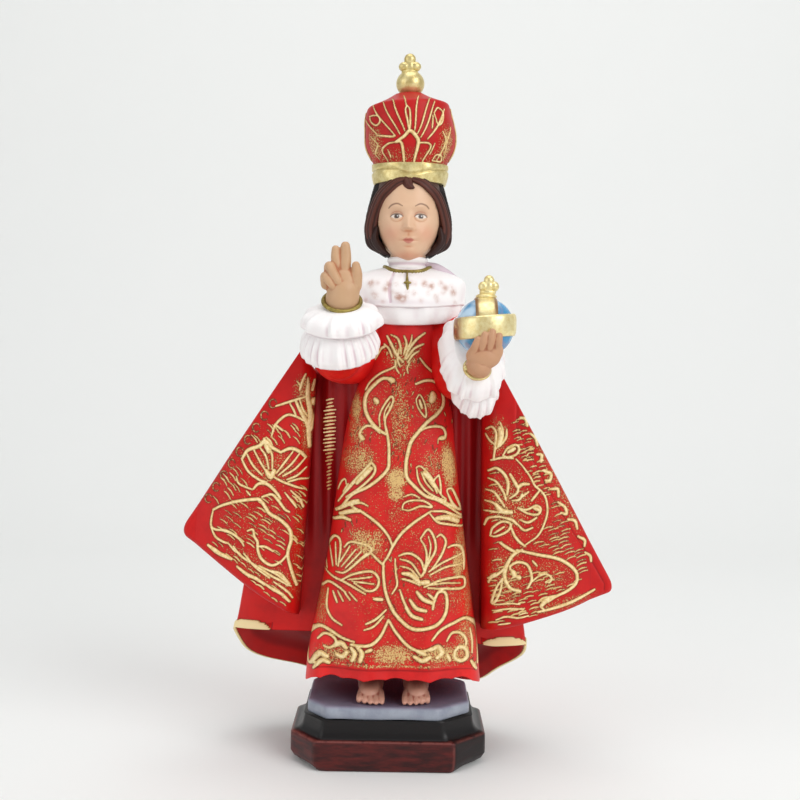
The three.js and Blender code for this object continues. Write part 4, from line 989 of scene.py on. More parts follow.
@dataclass
class Robe:
    """The dress: a flattened bell with a wavy hem and an embroidered front."""

    hem: float = 25.5
    top: float = 130.0
    core: float = -2.0
    back: float = 8.0
    power: float = 2.8
    front_columns: int = 252
    rows: int = 334
    hem_line: float = 29.2
    # Heights, and at each the x of the left edge, the x of the right edge or the y of the front
    left: tuple = ((25, -25), (32, -24.2), (40, -22.6), (60, -18.9), (75, -17), (92, -14.8),
                   (104, -12.5), (116, -9), (130, -6))
    right: tuple = ((25, 27.2), (40, 25.4), (60, 22.6), (75, 20.6), (92, 18.6), (104, 17.2),
                    (116, 14), (130, 13))
    front: tuple = ((25, -22.5), (45, -20.5), (70, -18.5), (100, -17.5), (130, -15.5))

    def ring(self, z: float) -> Array:
        """Makes one level of the dress.

        Args:
            z: The level's height.

        Returns:
            Its points, the front first from left to right.
        """
        left, right = float(through(self.left, z)), float(through(self.right, z))
        half, middle = (right - left) / 2, (left + right) / 2
        reach = (half, self.core - float(through(self.front, z)), self.back)
        x, y = oval(np.linspace(math.pi, 2 * math.pi, 900), reach, self.power)
        face = even(np.stack([x, y], 1), self.front_columns)
        x, y = oval(np.linspace(0, math.pi, 300), reach, self.power)
        rear = even(np.stack([x, y], 1), 34)[1:-1]
        flat = np.vstack([face, rear]) + [middle, self.core]
        return np.column_stack([flat, np.full(len(flat), z)])

    def embroider(self, work: Relief) -> None:
        """Works the dress's scrolls, leaves and flowers, and the small dabs between them.

        Args:
            work: The relief to work.
        """
        work.draw(ROBE_STROKES)
        chance = np.random.default_rng(7)
        for low, high, count in (((-1, 85), (6, 113), 60), ((-14, 85), (-6, 104), 34),
                                 ((9, 86), (18, 106), 26), ((-20, 29), (-3, 34), 26),
                                 ((6, 29), (25, 34), 26), ((-2, 45), (9, 66), 26),
                                 ((-16, 62), (-4, 72), 18), ((-6, 116), (9, 124), 16)):
            for _ in range(count):
                x, z = chance.uniform(low, high)
                work.line([(x, z), (x + chance.uniform(-0.6, 0.6), z + chance.uniform(0.5, 1.4))],
                          0.42, 0.14, 0.5, gild=chance.uniform(0.25, 0.8))

    def dust(self, work: Relief) -> None:
        """Dusts the gold that the dry brush left between the lines.

        Args:
            work: The relief to work.
        """
        work.sprinkle((
            (2.6, 118.5, 6, 5, 0.5), (2, 101, 3.6, 13, 0.52), (1.4, 83.5, 3.6, 4, 1.0),
            (1.2, 79.5, 2.8, 3, 0.85), (-9.5, 88.5, 5.8, 5, 0.65, 30), (-10, 97, 3, 5, 0.55),
            (-10.6, 103.6, 1.8, 5, 0.85), (19.6, 58.8, 2.2, 5, 0.9), (-3.8, 66, 2.4, 4, 0.6),
            (16.4, 87, 2.6, 8, 0.95, 8), (11.5, 88, 4, 5, 0.45, -30), (11.4, 105, 2.6, 4, 0.5, 20),
            (-5.4, 104.6, 2.4, 4, 0.35), (-7, 65, 6, 4, 0.75, -40), (-11, 60, 6, 5, 0.3),
            (1.4, 73, 3, 4, 0.3), (20.6, 65, 2.6, 5, 0.6), (16, 33.4, 10, 3.6, 0.72),
            (22, 38, 3.4, 6, 0.6), (-14, 33, 9, 3.4, 0.55), (1, 33.4, 7, 4, 0.85),
            (13, 56, 6, 6, 0.3), (18, 50, 5, 6, 0.3), (-20, 46, 2.4, 8, 0.45),
            (22.6, 50, 2, 10, 0.45), (0, 29.9, 25, 0.5, 0.6), (2, 60, 20, 30, 0.14),
            (2, 100, 13, 22, 0.14),
        ))

    def build(self) -> None:
        """Builds and dresses the dress."""
        levels = self.hem + (self.top - self.hem) * np.linspace(0, 1, self.rows)
        rings = np.array([self.ring(z) for z in levels])
        x, y, z = (rings[..., k].copy() for k in range(3))
        work = Relief(x, z)
        self.embroider(work)
        self.dust(work)
        facing = step(self.core - 1.5, self.core - 6, y)
        lift = work.height * facing
        lift += 0.35 * np.exp(-((z - self.hem_line) / 0.35) ** 2) * facing
        lift -= 0.3 * step(self.hem_line, self.hem_line - 0.5, z) * facing
        wave = 0.7 * np.clip((60 - z) / 35, 0, 1) * np.sin(0.36 * x + 0.6)
        wave += 0.2 * np.clip((45 - z) / 20, 0, 1) * np.sin(0.8 * x + 2.0)
        pull = 0.45 * np.sin(0.25 * x + 0.04 * z) * np.clip((z - 60) / 60, 0, 1)
        middle = (through(self.left, z) + through(self.right, z)) / 2
        out = np.stack([(x - middle) / 40, y - self.core], -1)
        out /= np.maximum(np.linalg.norm(out, axis=-1), 1e-6)[..., None]
        drop = 3.7 * step(-7, -21, y) - 2.6
        scallop = 0.6 * np.abs(np.sin(0.5 * x + 0.4)) + 0.25 * np.sin(0.36 * x + 1.0) - 0.2
        # The deep mask: a little crimson over the front inside its margins.
        deep = 0.22 * step(23, 20, np.abs(x - middle) * 22 / 19) * facing
        rings[..., :2] += out * lift[..., None]
        rings[..., 1] += (wave + pull) * facing
        rings[..., 2] += (drop * np.clip((36 - z) / 10, 0, 1)
                          + scallop * np.clip((28 - z) / 2.5, 0, 1))
        y = rings[..., 1]
        # Crimson painted shade where the dress's sides turn back above the hem, and under its
        # turned-in hem.
        deep = np.maximum(0.85 * step(-8.5, -2.5, y) * step(30, 34, z), deep)
        dust = work.dust * step(self.core - 0.5, self.core - 5, y)
        masks = {name: np.vstack([np.full((2, x.shape[1]), fill), values])
                 for name, values, fill in (("gild", work.gild * facing, 0.0),
                                            ("dust", dust, 0.0), ("deep", deep, 0.9))}
        clay = Clay()
        clay.loft(turned_in(rings, (1.5, -6), ((0.93, 3.4), (0.965, 0.3))), masks)
        settle(clay.piece("dress"), Look.DRESS, (5, 0.16))


@dataclass
class Wing:
    """One spread front panel of the mantle, with its embroidery."""

    name: str
    side: int
    inner_top: tuple
    inner_bottom: tuple
    outer_top: tuple
    corner: tuple
    bulge: float
    sag: float
    round_share: float = 0.1
    columns: int = 158
    rows: int = 270
    root: float = 22.3
    edge: float = 5.5

    def plane(self, s: Array, t: Array) -> tuple[Array, Array]:
        """Places points of the panel's front.

        Args:
            s: Their shares of the way from the inner edge to the outer one.
            t: Their shares of the way down.

        Returns:
            Their x and their z.
        """
        edge = 1 - self.round_share
        a, b = (s - edge) / self.round_share, (t - edge) / self.round_share
        both = (a > 0) & (b > 0)
        a2, b2 = np.where(both, a, 1), np.where(both, b, 1)
        shrink = np.maximum(a2, b2) / (a2 ** 2.4 + b2 ** 2.4) ** (1 / 2.4)
        s = np.where(both, edge + self.round_share * a2 * shrink, s)
        t = np.where(both, edge + self.round_share * b2 * shrink, t)
        swell = self.bulge * np.sin(math.pi * t)
        inner = [self.inner_top[k] + (self.inner_bottom[k] - self.inner_top[k]) * t for k in (0, 1)]
        outer_x = (self.outer_top[0] + (self.corner[0] - self.outer_top[0]) * t
                   + self.side * swell * 0.87)
        outer_z = self.outer_top[1] + (self.corner[1] - self.outer_top[1]) * t + swell * 0.5
        x = inner[0] + (outer_x - inner[0]) * s
        z = inner[1] + (outer_z - inner[1]) * s - self.sag * np.sin(math.pi * s) * t
        return x, z

    def depth(self, x: Array, z: Array) -> Array:
        """Reads the front's depth.

        Args:
            x: The x of each point.
            z: The z of each point.

        Returns:
            The y of each point.
        """
        t = (self.inner_top[1] - z) / (self.inner_top[1] - self.inner_bottom[1])
        inner = self.inner_top[0] + (self.inner_bottom[0] - self.inner_top[0]) * t
        away = np.maximum(0, (x - inner) * self.side)
        turn = np.maximum(0, 1 - away / 4) ** 2
        return -11 - 4.6 * np.sin(math.pi * np.minimum(1, away / 36 + 0.12)) + 5 * turn

    def build(self, embroider: Callable[[Relief], None]) -> None:
        """Builds the panel.

        Args:
            embroider: Called with the relief to work.
        """
        t, s = np.meshgrid(1 - (1 - np.linspace(0, 1, self.rows)) ** 1.15,
                           np.linspace(0, 1, self.columns), indexing="ij")
        x, z = self.plane(s, t)
        y = self.depth(x, z)
        work = Relief(x, z)
        embroider(work)
        lift = work.height
        if self.side > 0:
            seam = through(((53, 62.9), (60.9, 58.1), (70.9, 51.3), (82, 44.6), (98, 35.8)), z) - x
            lift = lift - 0.3 * np.exp(-((seam - 0.2) / 0.4) ** 2) * step(114, 108, z)
        rim = 1 - np.clip(np.minimum((1 - s) / 0.02, (1 - t) / 0.02), 0, 1)
        sway = 0.5 * np.sin(0.28 * x + 0.05 * z) * step(0, 0.3, s) * step(0.2, 0.9, t)
        y = y - lift * (1 - rim) + sway + 0.9 * rim ** 2
        tb, sb = np.meshgrid(t[:, 0], np.linspace(1, 0, 18), indexing="ij")
        xb, zb = self.plane(sb, tb)
        thick = self.edge + (self.root - self.edge) * (1 - sb ** 0.8) * (
            0.05 + 0.95 * step(0, 0.35, tb))
        yb = self.depth(xb, zb) + thick - 0.9 * np.maximum(0, (sb - 0.86) / 0.14) ** 2
        rings = np.stack([np.hstack(pair) for pair in ((x, xb), (y, yb), (z, zb))], -1)
        # Crimson painted shade where the panel turns back at its inner edge, and a little over the
        # rest.
        deep = np.maximum(0.75 * step(0.07, 0.0, s), 0.3)
        masks = {name: np.hstack([values, np.full(xb.shape, fill)]) for name, values, fill in (
            ("gild", work.gild, 0.0), ("dust", work.dust, 0.0), ("deep", deep, 0.35))}
        clay = Clay()
        clay.loft(rings, masks)
        settle(clay.piece(self.name), Look.EMBROIDERED, (5, 0.16))


def left_embroidery(work: Relief) -> None:
    """Works the flower and scrolls of the left panel, with hatching between them.

    Args:
        work: The relief to work.
    """
    work.draw(LEFT_STROKES)
    turn = np.linspace(0.2, 5.4, 8)
    for i in range(9):
        x, z = -34.4 - 2.35 * i, 104.4 - 3.5 * i
        ring = np.column_stack([x + 1.05 * np.cos(turn), z + 1.25 * np.sin(turn)])
        work.line(ring, 0.5, 0.3, 0.4, gild=0.6)
    for area in (
        ([(-24.8, 80), (-25.2, 50), (-28, 48), (-31, 72), (-28, 82)], 1.05, -50, 2.6, 0.38, 3, 0.7),
        ([(-30, 77), (-29, 58), (-34, 56), (-40, 63), (-52, 67), (-50, 75), (-40, 79)], 1.3,
         -32, 2.8, 0.38, 5, 0.65),
        ([(-36, 100), (-26.5, 101), (-26.5, 93), (-38, 93), (-42, 94)], 1.2, -50, 2.8, 0.42,
         8, 0.85),
        ([(-45, 92), (-41, 80), (-50, 75), (-56, 72)], 1.2, -50, 3.0, 0.42, 9, 0.85),
        ([(-57, 67), (-50, 62), (-30, 44.5), (-28, 52), (-44, 62)], 1.2, -38, 2.2, 0.42, 12, 0.7),
    ):
        work.hatch(*area)
    work.sprinkle(((-26, 108, 3, 5, 0.6), (-25, 97, 1.8, 9, 0.5), (-34.6, 86, 8, 7, 0.34),
                   (-40, 70, 12, 7, 0.18), (-36, 56, 17, 4, 0.3, -32), (-27, 62, 2, 18, 0.22),
                   (-40, 80, 17, 26, 0.1)))


def right_embroidery(work: Relief) -> None:
    """Works the tulip, flower and scrolls of the right panel, with rows of hatching.

    Args:
        work: The relief to work.
    """
    work.draw(RIGHT_STROKES)
    for area, seed, keep, length in (
        ([(28, 90), (28.5, 60), (32, 60), (31, 90)], 21, 0.7, 2.6),
        ([(33.5, 101), (37, 100), (40.6, 91), (46.4, 81.5), (49.4, 75), (53, 69), (56.6, 63.4),
          (59, 57.6), (54.3, 55.6), (50.7, 60.6), (40, 64.2), (43.6, 69), (45.4, 77), (42.5, 83),
          (37, 89)], 23, 0.97, 3.0),
        ([(33, 103), (38, 102), (41.6, 92), (48, 80), (44, 77), (36.4, 88)], 29, 0.9, 1.9),
        ([(28, 62), (28.5, 40.5), (42, 44), (46, 50), (36, 60)], 25, 0.75, 2.6),
        ([(40, 48), (40, 60), (52, 57), (57, 53), (50, 49)], 27, 0.75, 2.6),
    ):
        work.hatch(area, 1.15, 16, length, 0.42, seed, keep)
    work.sprinkle(((30.5, 96, 3.4, 6, 0.5), (34, 77, 8, 9, 0.42), (34, 55, 6, 11, 0.4),
                   (45, 56, 11, 6, 0.3), (50, 47.6, 11, 2, 0.4, 15), (47, 84, 2, 22, 0.35, 26),
                   (41, 72, 13, 26, 0.16, 20)))


@dataclass
class Mantle:
    """The back of the mantle, folded, with its gilt hem and a hollow underside."""

    hem_front: float = 35.5
    hem_back: float = 14.2
    right_drop: float = 4.0
    fold_y: float = 3.0
    back_y: float = 27.0
    core_y: float = 4.0
    folds: int = 7
    fold_depth: float = 0.07
    band: float = 2.6
    columns: int = 270
    rows: int = 110
    top: float = 142.0
    stitches: int = 26
    stitch_top: float = 105.6
    stitch_gap: float = 1.06
    seam_x: float = -18.6
    # Heights, and at each the x of an edge, or the y of the back or the front
    left: tuple = ((8, -46.5), (33, -47.4), (40, -46.2), (55, -43.5), (75, -38), (95, -31),
                   (112, -25), (124, -19), (134, -12), (142, -4))
    right: tuple = ((8, 40.6), (33, 41.3), (40, 40.4), (60, 38.5), (80, 36), (100, 31), (112, 27),
                    (124, 24), (134, 19), (142, 11))
    back: tuple = ((8, 28), (33, 27), (60, 24), (90, 20), (115, 17), (130, 14), (142, 9))
    front: tuple = ((8, -1), (60, -3), (100, -7), (124, -9), (142, -6))

    def skin(self, z: Array, angle: Array, extra: Array | float = 0.0) -> tuple:
        """Places points of the mantle's outside.

        Args:
            z: The height of each point.
            angle: The angle of each point.
            extra: How far it stands out further.

        Returns:
            Their x and their y.
        """
        half = (through(self.right, z) - through(self.left, z)) / 2
        middle = through(self.left, z) + half
        reach = (half + extra, self.core_y - through(self.front, z) + extra,
                 through(self.back, z) - self.core_y + extra)
        x, y = oval(angle, reach, 2.5, 2.0)
        depth = np.clip((125 - z) / 90, 0, 1) * self.fold_depth
        grow = 1 + depth * np.maximum(0, np.sin(angle)) * np.cos(self.folds * angle)
        return middle + x * grow, self.core_y + y * grow

    def hem(self, y: Array) -> Array:
        """The hem's height at a depth y."""
        slope = (self.hem_front - self.hem_back) / (self.back_y - self.fold_y)
        return self.hem_front - slope * np.maximum(0, y - self.fold_y)

    def build(self) -> None:
        """Builds and dresses the mantle's back."""
        angle = np.linspace(0, 2 * math.pi, self.columns, endpoint=False)
        low = np.full(self.columns, self.hem_front)
        for _ in range(24):
            side, rear = self.skin(low, angle)
            low = 0.5 * low + 0.5 * (self.hem(rear) - self.right_drop * step(14, 32, side))
        z = low + np.outer(np.linspace(0, 1, self.rows) ** 1.25, 1) * (self.top - low)
        turn = np.broadcast_to(angle, z.shape)
        height = z - low
        facing = (np.sin(turn) < 0).astype(float)
        x = self.skin(z, turn)[0]
        lens = np.sqrt(np.clip(np.maximum(1 - ((x + 42.5) / 6.4) ** 2,
                                          1 - ((x - 34.6) / 6.6) ** 2), 0, 1))
        wide = self.band * np.where(facing > 0, lens, 1)
        band = step(wide + 0.2, wide - 0.2, height) * step(0.1, 0.5, wide)
        x, y = self.skin(z, turn, 0.6 * band)
        y = y + 0.45 * np.sin(3 * turn + 0.05 * z) * np.maximum(0, np.sin(turn))
        rings = np.stack([x, y, z], -1)
        rings[..., 1] += 0.5 * facing * np.sin(1.5 * x + 0.02 * z) * step(55, 75, z)
        rings[..., 1] -= 1.6 * facing * np.exp(-((x + 18.4) / 2.0) ** 2) * step(60, 85, z)
        # Crimson painted shade on the front-facing cloth behind the panels, fuller higher up, and a
        # little elsewhere.
        deep = facing * (0.06 + 0.75 * step(46, 70, z)) + 0.05
        masks = {name: np.vstack([np.full((2, self.columns), fill), values])
                 for name, values, fill in (("gild", 1.6 * band, 0.0), ("deep", deep, 0.2))}
        clay = Clay()
        clay.loft(turned_in(rings, (-2, 6), ((0.93, 6.0), (0.97, 0.3))), masks)
        nearest = np.abs(rings[..., 0] - self.seam_x) + 9 * (1 - facing)
        spine_z, spine_y = (np.take_along_axis(rings[..., k], nearest.argmin(1)[:, None], 1)[:, 0]
                            for k in (2, 1))
        for i in range(self.stitches):
            level = self.stitch_top - self.stitch_gap * i
            long = (1.7 if 2 < i < 15 else 1.0) * (1 - 0.25 * (i % 3 == 1)) * (1 if i < 18 else 0.6)
            y = float(np.interp(level, spine_z, spine_y)) + 0.05
            clay.limb([(self.seam_x - long, y + 0.45, level - 0.3, 0.2),
                       (self.seam_x, y, level, 0.3),
                       (self.seam_x + long, y + 0.35, level + 0.15, 0.2)], 8, 0.5,
                      masks={"gild": 1.0 if i < 15 else 0.7})
        settle(clay.piece("mantle_back"), Look.EMBROIDERED, (8, 0.5))


@dataclass
class Frill:
    """A pleated cuff: a flared ring round an axis, with pleats that deepen to its edge.

    Each station is a place along the axis, the radius there and the depth of the pleats.
    """

    at: tuple
    axis: tuple
    wide: float
    tall: float
    flutes: int
    stations: tuple
    seed: int = 0
    fullness: float = 2.0

    def add_to(self, clay: Clay) -> None:
        """Adds the cuff to a piece.

        Args:
            clay: The piece.
        """
        axis, across, over = across_axis(self.axis)
        turn = turns(230)
        c, s = np.cos(turn), np.sin(turn)
        square = (np.abs(c) ** self.fullness + np.abs(s) ** self.fullness) ** (-1 / self.fullness)
        table = np.array(self.stations, float)
        chance = np.random.default_rng(self.seed)
        uneven = turn + 0.09 * np.sin(3 * turn + chance.uniform(0, 6)) + 0.05 * np.sin(
            7 * turn + chance.uniform(0, 6))
        pleat = 0.7 * np.cos(self.flutes * uneven) + 0.3 * np.cos(2 * self.flutes * uneven + 0.8)
        along = np.linspace(table[0, 0], table[-1, 0], 26)
        waves = through(table[:, ::2], along) * 1.25
        rings = [(r + w * pleat, w * 0.5 * pleat - a)
                 for a, r, w in zip(along, through(table[:, :2], along), waves)]
        edge = table[-1, 1] + table[-1, 2] * 1.25 * pleat
        end = table[-1, 2] * 0.6 * pleat - table[-1, 0]
        rings += [(edge + grow, end + back) for grow, back in
                  ((-0.25, -0.3), (-0.8, -0.15), (-1.2, 0.4), (-2.6, 1.6))]
        made = np.array([np.array(self.at) + np.outer(r * square * c * self.wide, across)
                         + np.outer(r * square * s * self.tall, over) + np.outer(a, axis)
                         for r, a in rings])
        # Painted shade on the rim's turned-in underside.
        tint = np.zeros(made.shape[:2])
        tint[-5:-2], tint[-2:] = 0.35, 0.8
        clay.loft(made, {"tint": tint})


@dataclass
class Sleeves:
    """The red sleeves, their white cuffs and the gilt bracelets."""

    sides: int = 72
    links: int = 90

    def build(self) -> None:
        """Builds and dresses the sleeves, cuffs and bracelets."""
        clay = Clay()
        clay.limb([(-3, 1, 128, 11), (-11, -6, 121, 10.5), (-15.6, -16, 118.4, 7.8),
                   (-15.4, -22, 118.2, 4.9)], self.sides, 1.0)
        clay.limb([(11, 1, 127, 10.5), (18, -6, 119, 10), (20, -12, 114.6, 9.2),
                   (21, -16.5, 113.6, 7.6)], self.sides, 1.0)
        settle(clay.piece("sleeves"), Look.EMBROIDERED, (8, 0.5))
        clay = Clay()
        for frill in (
            Frill((-14.6, -28.3, 131.9), (-0.06, -0.42, 0.9), 1.08, 0.95, 11,
                  ((0, 4.4, 0), (0.6, 6.8, 0.1), (2, 9.2, 0.35), (3.8, 10.1, 0.5),
                   (5.4, 10.1, 0.62)), 1),
            Frill((-15.6, -26, 126.8), (-0.08, -0.5, 0.85), 1, 0.95, 21,
                  ((0, 8, 0), (3, 9.9, 0.28), (6.4, 10.9, 0.42), (8.4, 10.6, 0.46)), 2),
            Frill((22.6, -29.5, 122.2), (0.1, -0.84, 0.54), 0.72, 1.07, 13,
                  ((0, 8.2, 0), (3, 11.1, 0.25), (6, 12.3, 0.4), (8, 12.6, 0.5)), 3, 2.5),
            Frill((23.6, -23.8, 114.8), (0.1, -0.84, 0.54), 0.62, 0.95, 14,
                  ((0, 7.5, 0.1), (3, 10, 0.3), (6, 11.2, 0.42), (8, 11.4, 0.46)), 4),
        ):
            frill.add_to(clay)
        settle(clay.piece("cuffs"), Look.WHITE, (10, 0.22))
        clay = self.bracelet((-14.4, -27.8, 133.4), (0.03, -0.58, 0.81), 5.1, 0.66)
        settle(clay.piece("bracelet_left"), Look.DARK_GOLD)
        clay = self.bracelet((22.7, -34.4, 115.4), (0.1, -0.76, 0.62), 3.4, 0.55)
        clay.ball((19.5, -36, 115.6), (0.8, 0.8, 0.8), 20)
        settle(clay.piece("bracelet_right"), Look.GOLD)

    def bracelet(self, at: tuple, axis: tuple, reach: float, thick: float) -> Clay:
        """Makes one bracelet.

        Args:
            at: Its middle.
            axis: Which way the arm runs through it.
            reach: Its radius.
            thick: Half its thickness.

        Returns:
            The bracelet in clay.
        """
        way, across, over = across_axis(axis)
        small = turns(12)
        outs = [across * math.cos(a) + over * math.sin(a) for a in turns(self.links)]
        clay = Clay()
        clay.hoop(np.array([
            np.array(at) + out * reach + np.outer(np.cos(small) * thick, out)
            + np.outer(np.sin(small) * thick * 0.8, way) for out in outs]))
        return clay


@dataclass
class Collar:
    """The fur cape with its lace frill, the standing collar, and a chain with a small cross."""

    middle: float = 3.6
    power: float = 2.15
    columns: int = 276
    # The lowest height, the highest height and the rows of each tier
    lace_levels: tuple = (127.6, 134.5, 26)
    cape_levels: tuple = (132.6, 144.6, 56)
    stand_levels: tuple = (142.6, 147.7, 26)
    # Heights, and at each the cape's reach to the side, to the front or to the back
    wide: tuple = ((126, 12.6), (128, 14.9), (130, 15.9), (134, 16.1), (139, 16.4), (141.5, 15.4),
                   (143, 12.8), (144, 9.4), (144.8, 6))
    front: tuple = ((126, 15), (129, 16.6), (134, 15.8), (139, 13.4), (141, 11.4), (142.4, 8.8),
                    (143.6, 6.8), (144.8, 5.6))
    back: tuple = ((126, 15.2), (134, 15.5), (139, 13.6), (142, 11.2), (143.6, 9), (144.8, 6.2))

    def tier(self, z: Array, angle: Array, grow: Array, lips: tuple) -> Array:
        """Places the points of a tier.

        Args:
            z: The height of each point.
            angle: The angle of each point.
            grow: How far each point stands out from the cape's form.
            lips: How its lower edge turns in, as in turned_in.

        Returns:
            An array of rings by points by 3.
        """
        reach = (through(table, z) + grow for table in (self.wide, self.front, self.back))
        x, y = oval(angle, tuple(reach), self.power, 2.5)
        rise = 1.6 * np.cos(angle) ** 2 * step(143, 137, z)
        return turned_in(np.stack([self.middle + x, -1 + y, z + rise], -1), (self.middle, -1), lips)

    def build(self) -> None:
        """Builds and dresses the collar and the chain."""
        clay = Clay()
        level, angle = skin_grid(*self.lace_levels, self.columns)
        flute = np.cos(15 * angle + 0.5 * np.sin(2 * angle) + 0.4 * np.sin(5 * angle))
        rings = self.tier(level, angle, 0.15 + 0.34 * flute * step(135, 128.5, level),
                          ((0.9, 1.2), (0.94, 0.2), (0.975, -0.25)))
        # Painted shade on the lace's turned-in lower edge.
        tint = np.zeros(rings.shape[:2])
        tint[:3] = 0.5
        clay.loft(rings, {"tint": tint})
        level, angle = skin_grid(*self.cape_levels, self.columns)
        wave = 0.3 * np.cos(9 * angle + 0.8 * np.sin(3 * angle)) * step(142, 134, level)
        rings = self.tier(level, angle, 0.9 + wave, ((0.93, 0.3), (0.975, -0.3)))
        x, z = rings[..., 0], rings[..., 2]
        facing = (np.sin(angle[0]) < 0.1) * np.ones(rings.shape[:2])
        spots = sum(size * bell(x, z, (px, pz), (0.55 + 0.3 * size, 0.6 + 0.4 * size))
                    for px, pz, size in self.spots())
        seam = Relief(x, z)
        seam.line([(-0.4, 142.6), (-1.2, 140), (-1.5, 137.8), (-1.2, 134)], 0.9, 0.3, 0.5)
        groove = seam.gild * facing
        rings[..., 1] += 0.4 * groove
        # Painted shade along the cape's lower edge, on its turned-in rows and in the seam's groove.
        soft = 0.3 * facing * bell(x, z, (0, 133.8), (14, 0.8))
        soft[:2] = 0.5
        clay.loft(rings, {"dab": np.clip(spots, 0, 1) * 0.75 * facing,
                          "tint": np.maximum(soft, groove * 0.3)})
        level, angle = skin_grid(*self.stand_levels, self.columns)
        roll = 0.28 * np.cos((level - 144.5) * 2.6)
        x, y = oval(angle, (5.8 + roll, 6.6 + roll, 6.0 + roll), 2.0)
        # Painted shade in the standing collar's fold.
        clay.loft(np.stack([self.middle + x, -1.5 + y, level], -1),
                  {"tint": 0.35 * np.exp(-((level - 145.6) / 0.4) ** 2)})
        # A roll at the collar's right, laid wholly in lilac painted shade.
        clay.limb([(9.6, -3, 145.6, 1.0), (12, -3.4, 144.6, 1.6), (15, -2.8, 142.9, 1.7),
                   (18, -1.6, 141.4, 1.2)], 28, 0.5, 0.8, {"tint": 0.85})
        settle(clay.piece("collar"), Look.WHITE, (9, 0.16))
        clay = Clay()
        stations = self.chain()
        clay.limb(stations, 14, 0.3)
        for x, y, z, _ in stations[16:33]:
            clay.ball((x, y - 0.3, z - 0.45), (0.32, 0.32, 0.45), 10)
        clay.limb([(3.5, -9.9, 143.2, 0.3), (3.5, -11.3, 142.4, 0.28), (3.5, -12.6, 142.0, 0.25),
                   (3.5, -14.1, 140.7, 0.4), (3.6, -15.4, 139.2, 0.5), (3.7, -16.0, 137.6, 0.35)],
                  14, 0.3)
        clay.ball((3.6, -15.2, 139.6), (1.15, 0.5, 0.42), 14)
        settle(clay.piece("chain"), Look.DARK_GOLD)

    def chain(self) -> list:
        """Lays the chain round the neck, on top of the cape.

        Returns:
            Its stations: x, y, z and a radius.
        """
        levels = np.linspace(142, 144.8, 40)
        sizes = [through(table, levels) + 0.9 for table in (self.wide, self.front, self.back)]
        stations = []
        for angle in np.linspace(0.5, 2.5, 49) * math.pi:
            x, y = oval(np.array([angle]), (6.9, 8.7, 6.9), 2.6)
            deep = sizes[1] if math.sin(angle) < 0 else sizes[2]
            share = np.abs(x / sizes[0]) ** self.power + np.abs(y / deep) ** self.power
            stations.append((self.middle + float(x[0]), float(y[0]) - 1,
                             float(np.interp(1, share, levels)) + 0.25, 0.5))
        return stations

    def spots(self) -> list:
        """Lists the cape's painted fur tails.

        Returns:
            The x, the z and the strength of each.
        """
        chance = np.random.default_rng(11)
        listed = [(-6.9, 139.4, 1.0), (-2.6, 137.8, 0.8), (-1.8, 139.2, 0.7), (0.7, 135.7, 0.9),
                  (1.5, 135.1, 0.9), (2.9, 135.2, 0.8), (8.5, 139.4, 0.9), (10.4, 138.6, 0.8),
                  (13.1, 139.7, 0.6), (14.5, 138.3, 0.8), (16.9, 137.2, 0.9), (4.4, 139.6, 0.5),
                  (-5.4, 135.6, 0.6), (5.6, 136.6, 0.5), (11.8, 135.8, 0.5)]
        for k in range(16):
            x = -8 + 1.7 * k + chance.uniform(-0.5, 0.5)
            listed.append((x, 134.4 + 2.4 * (k % 3) + chance.uniform(-0.4, 0.4), 0.35))
        return listed


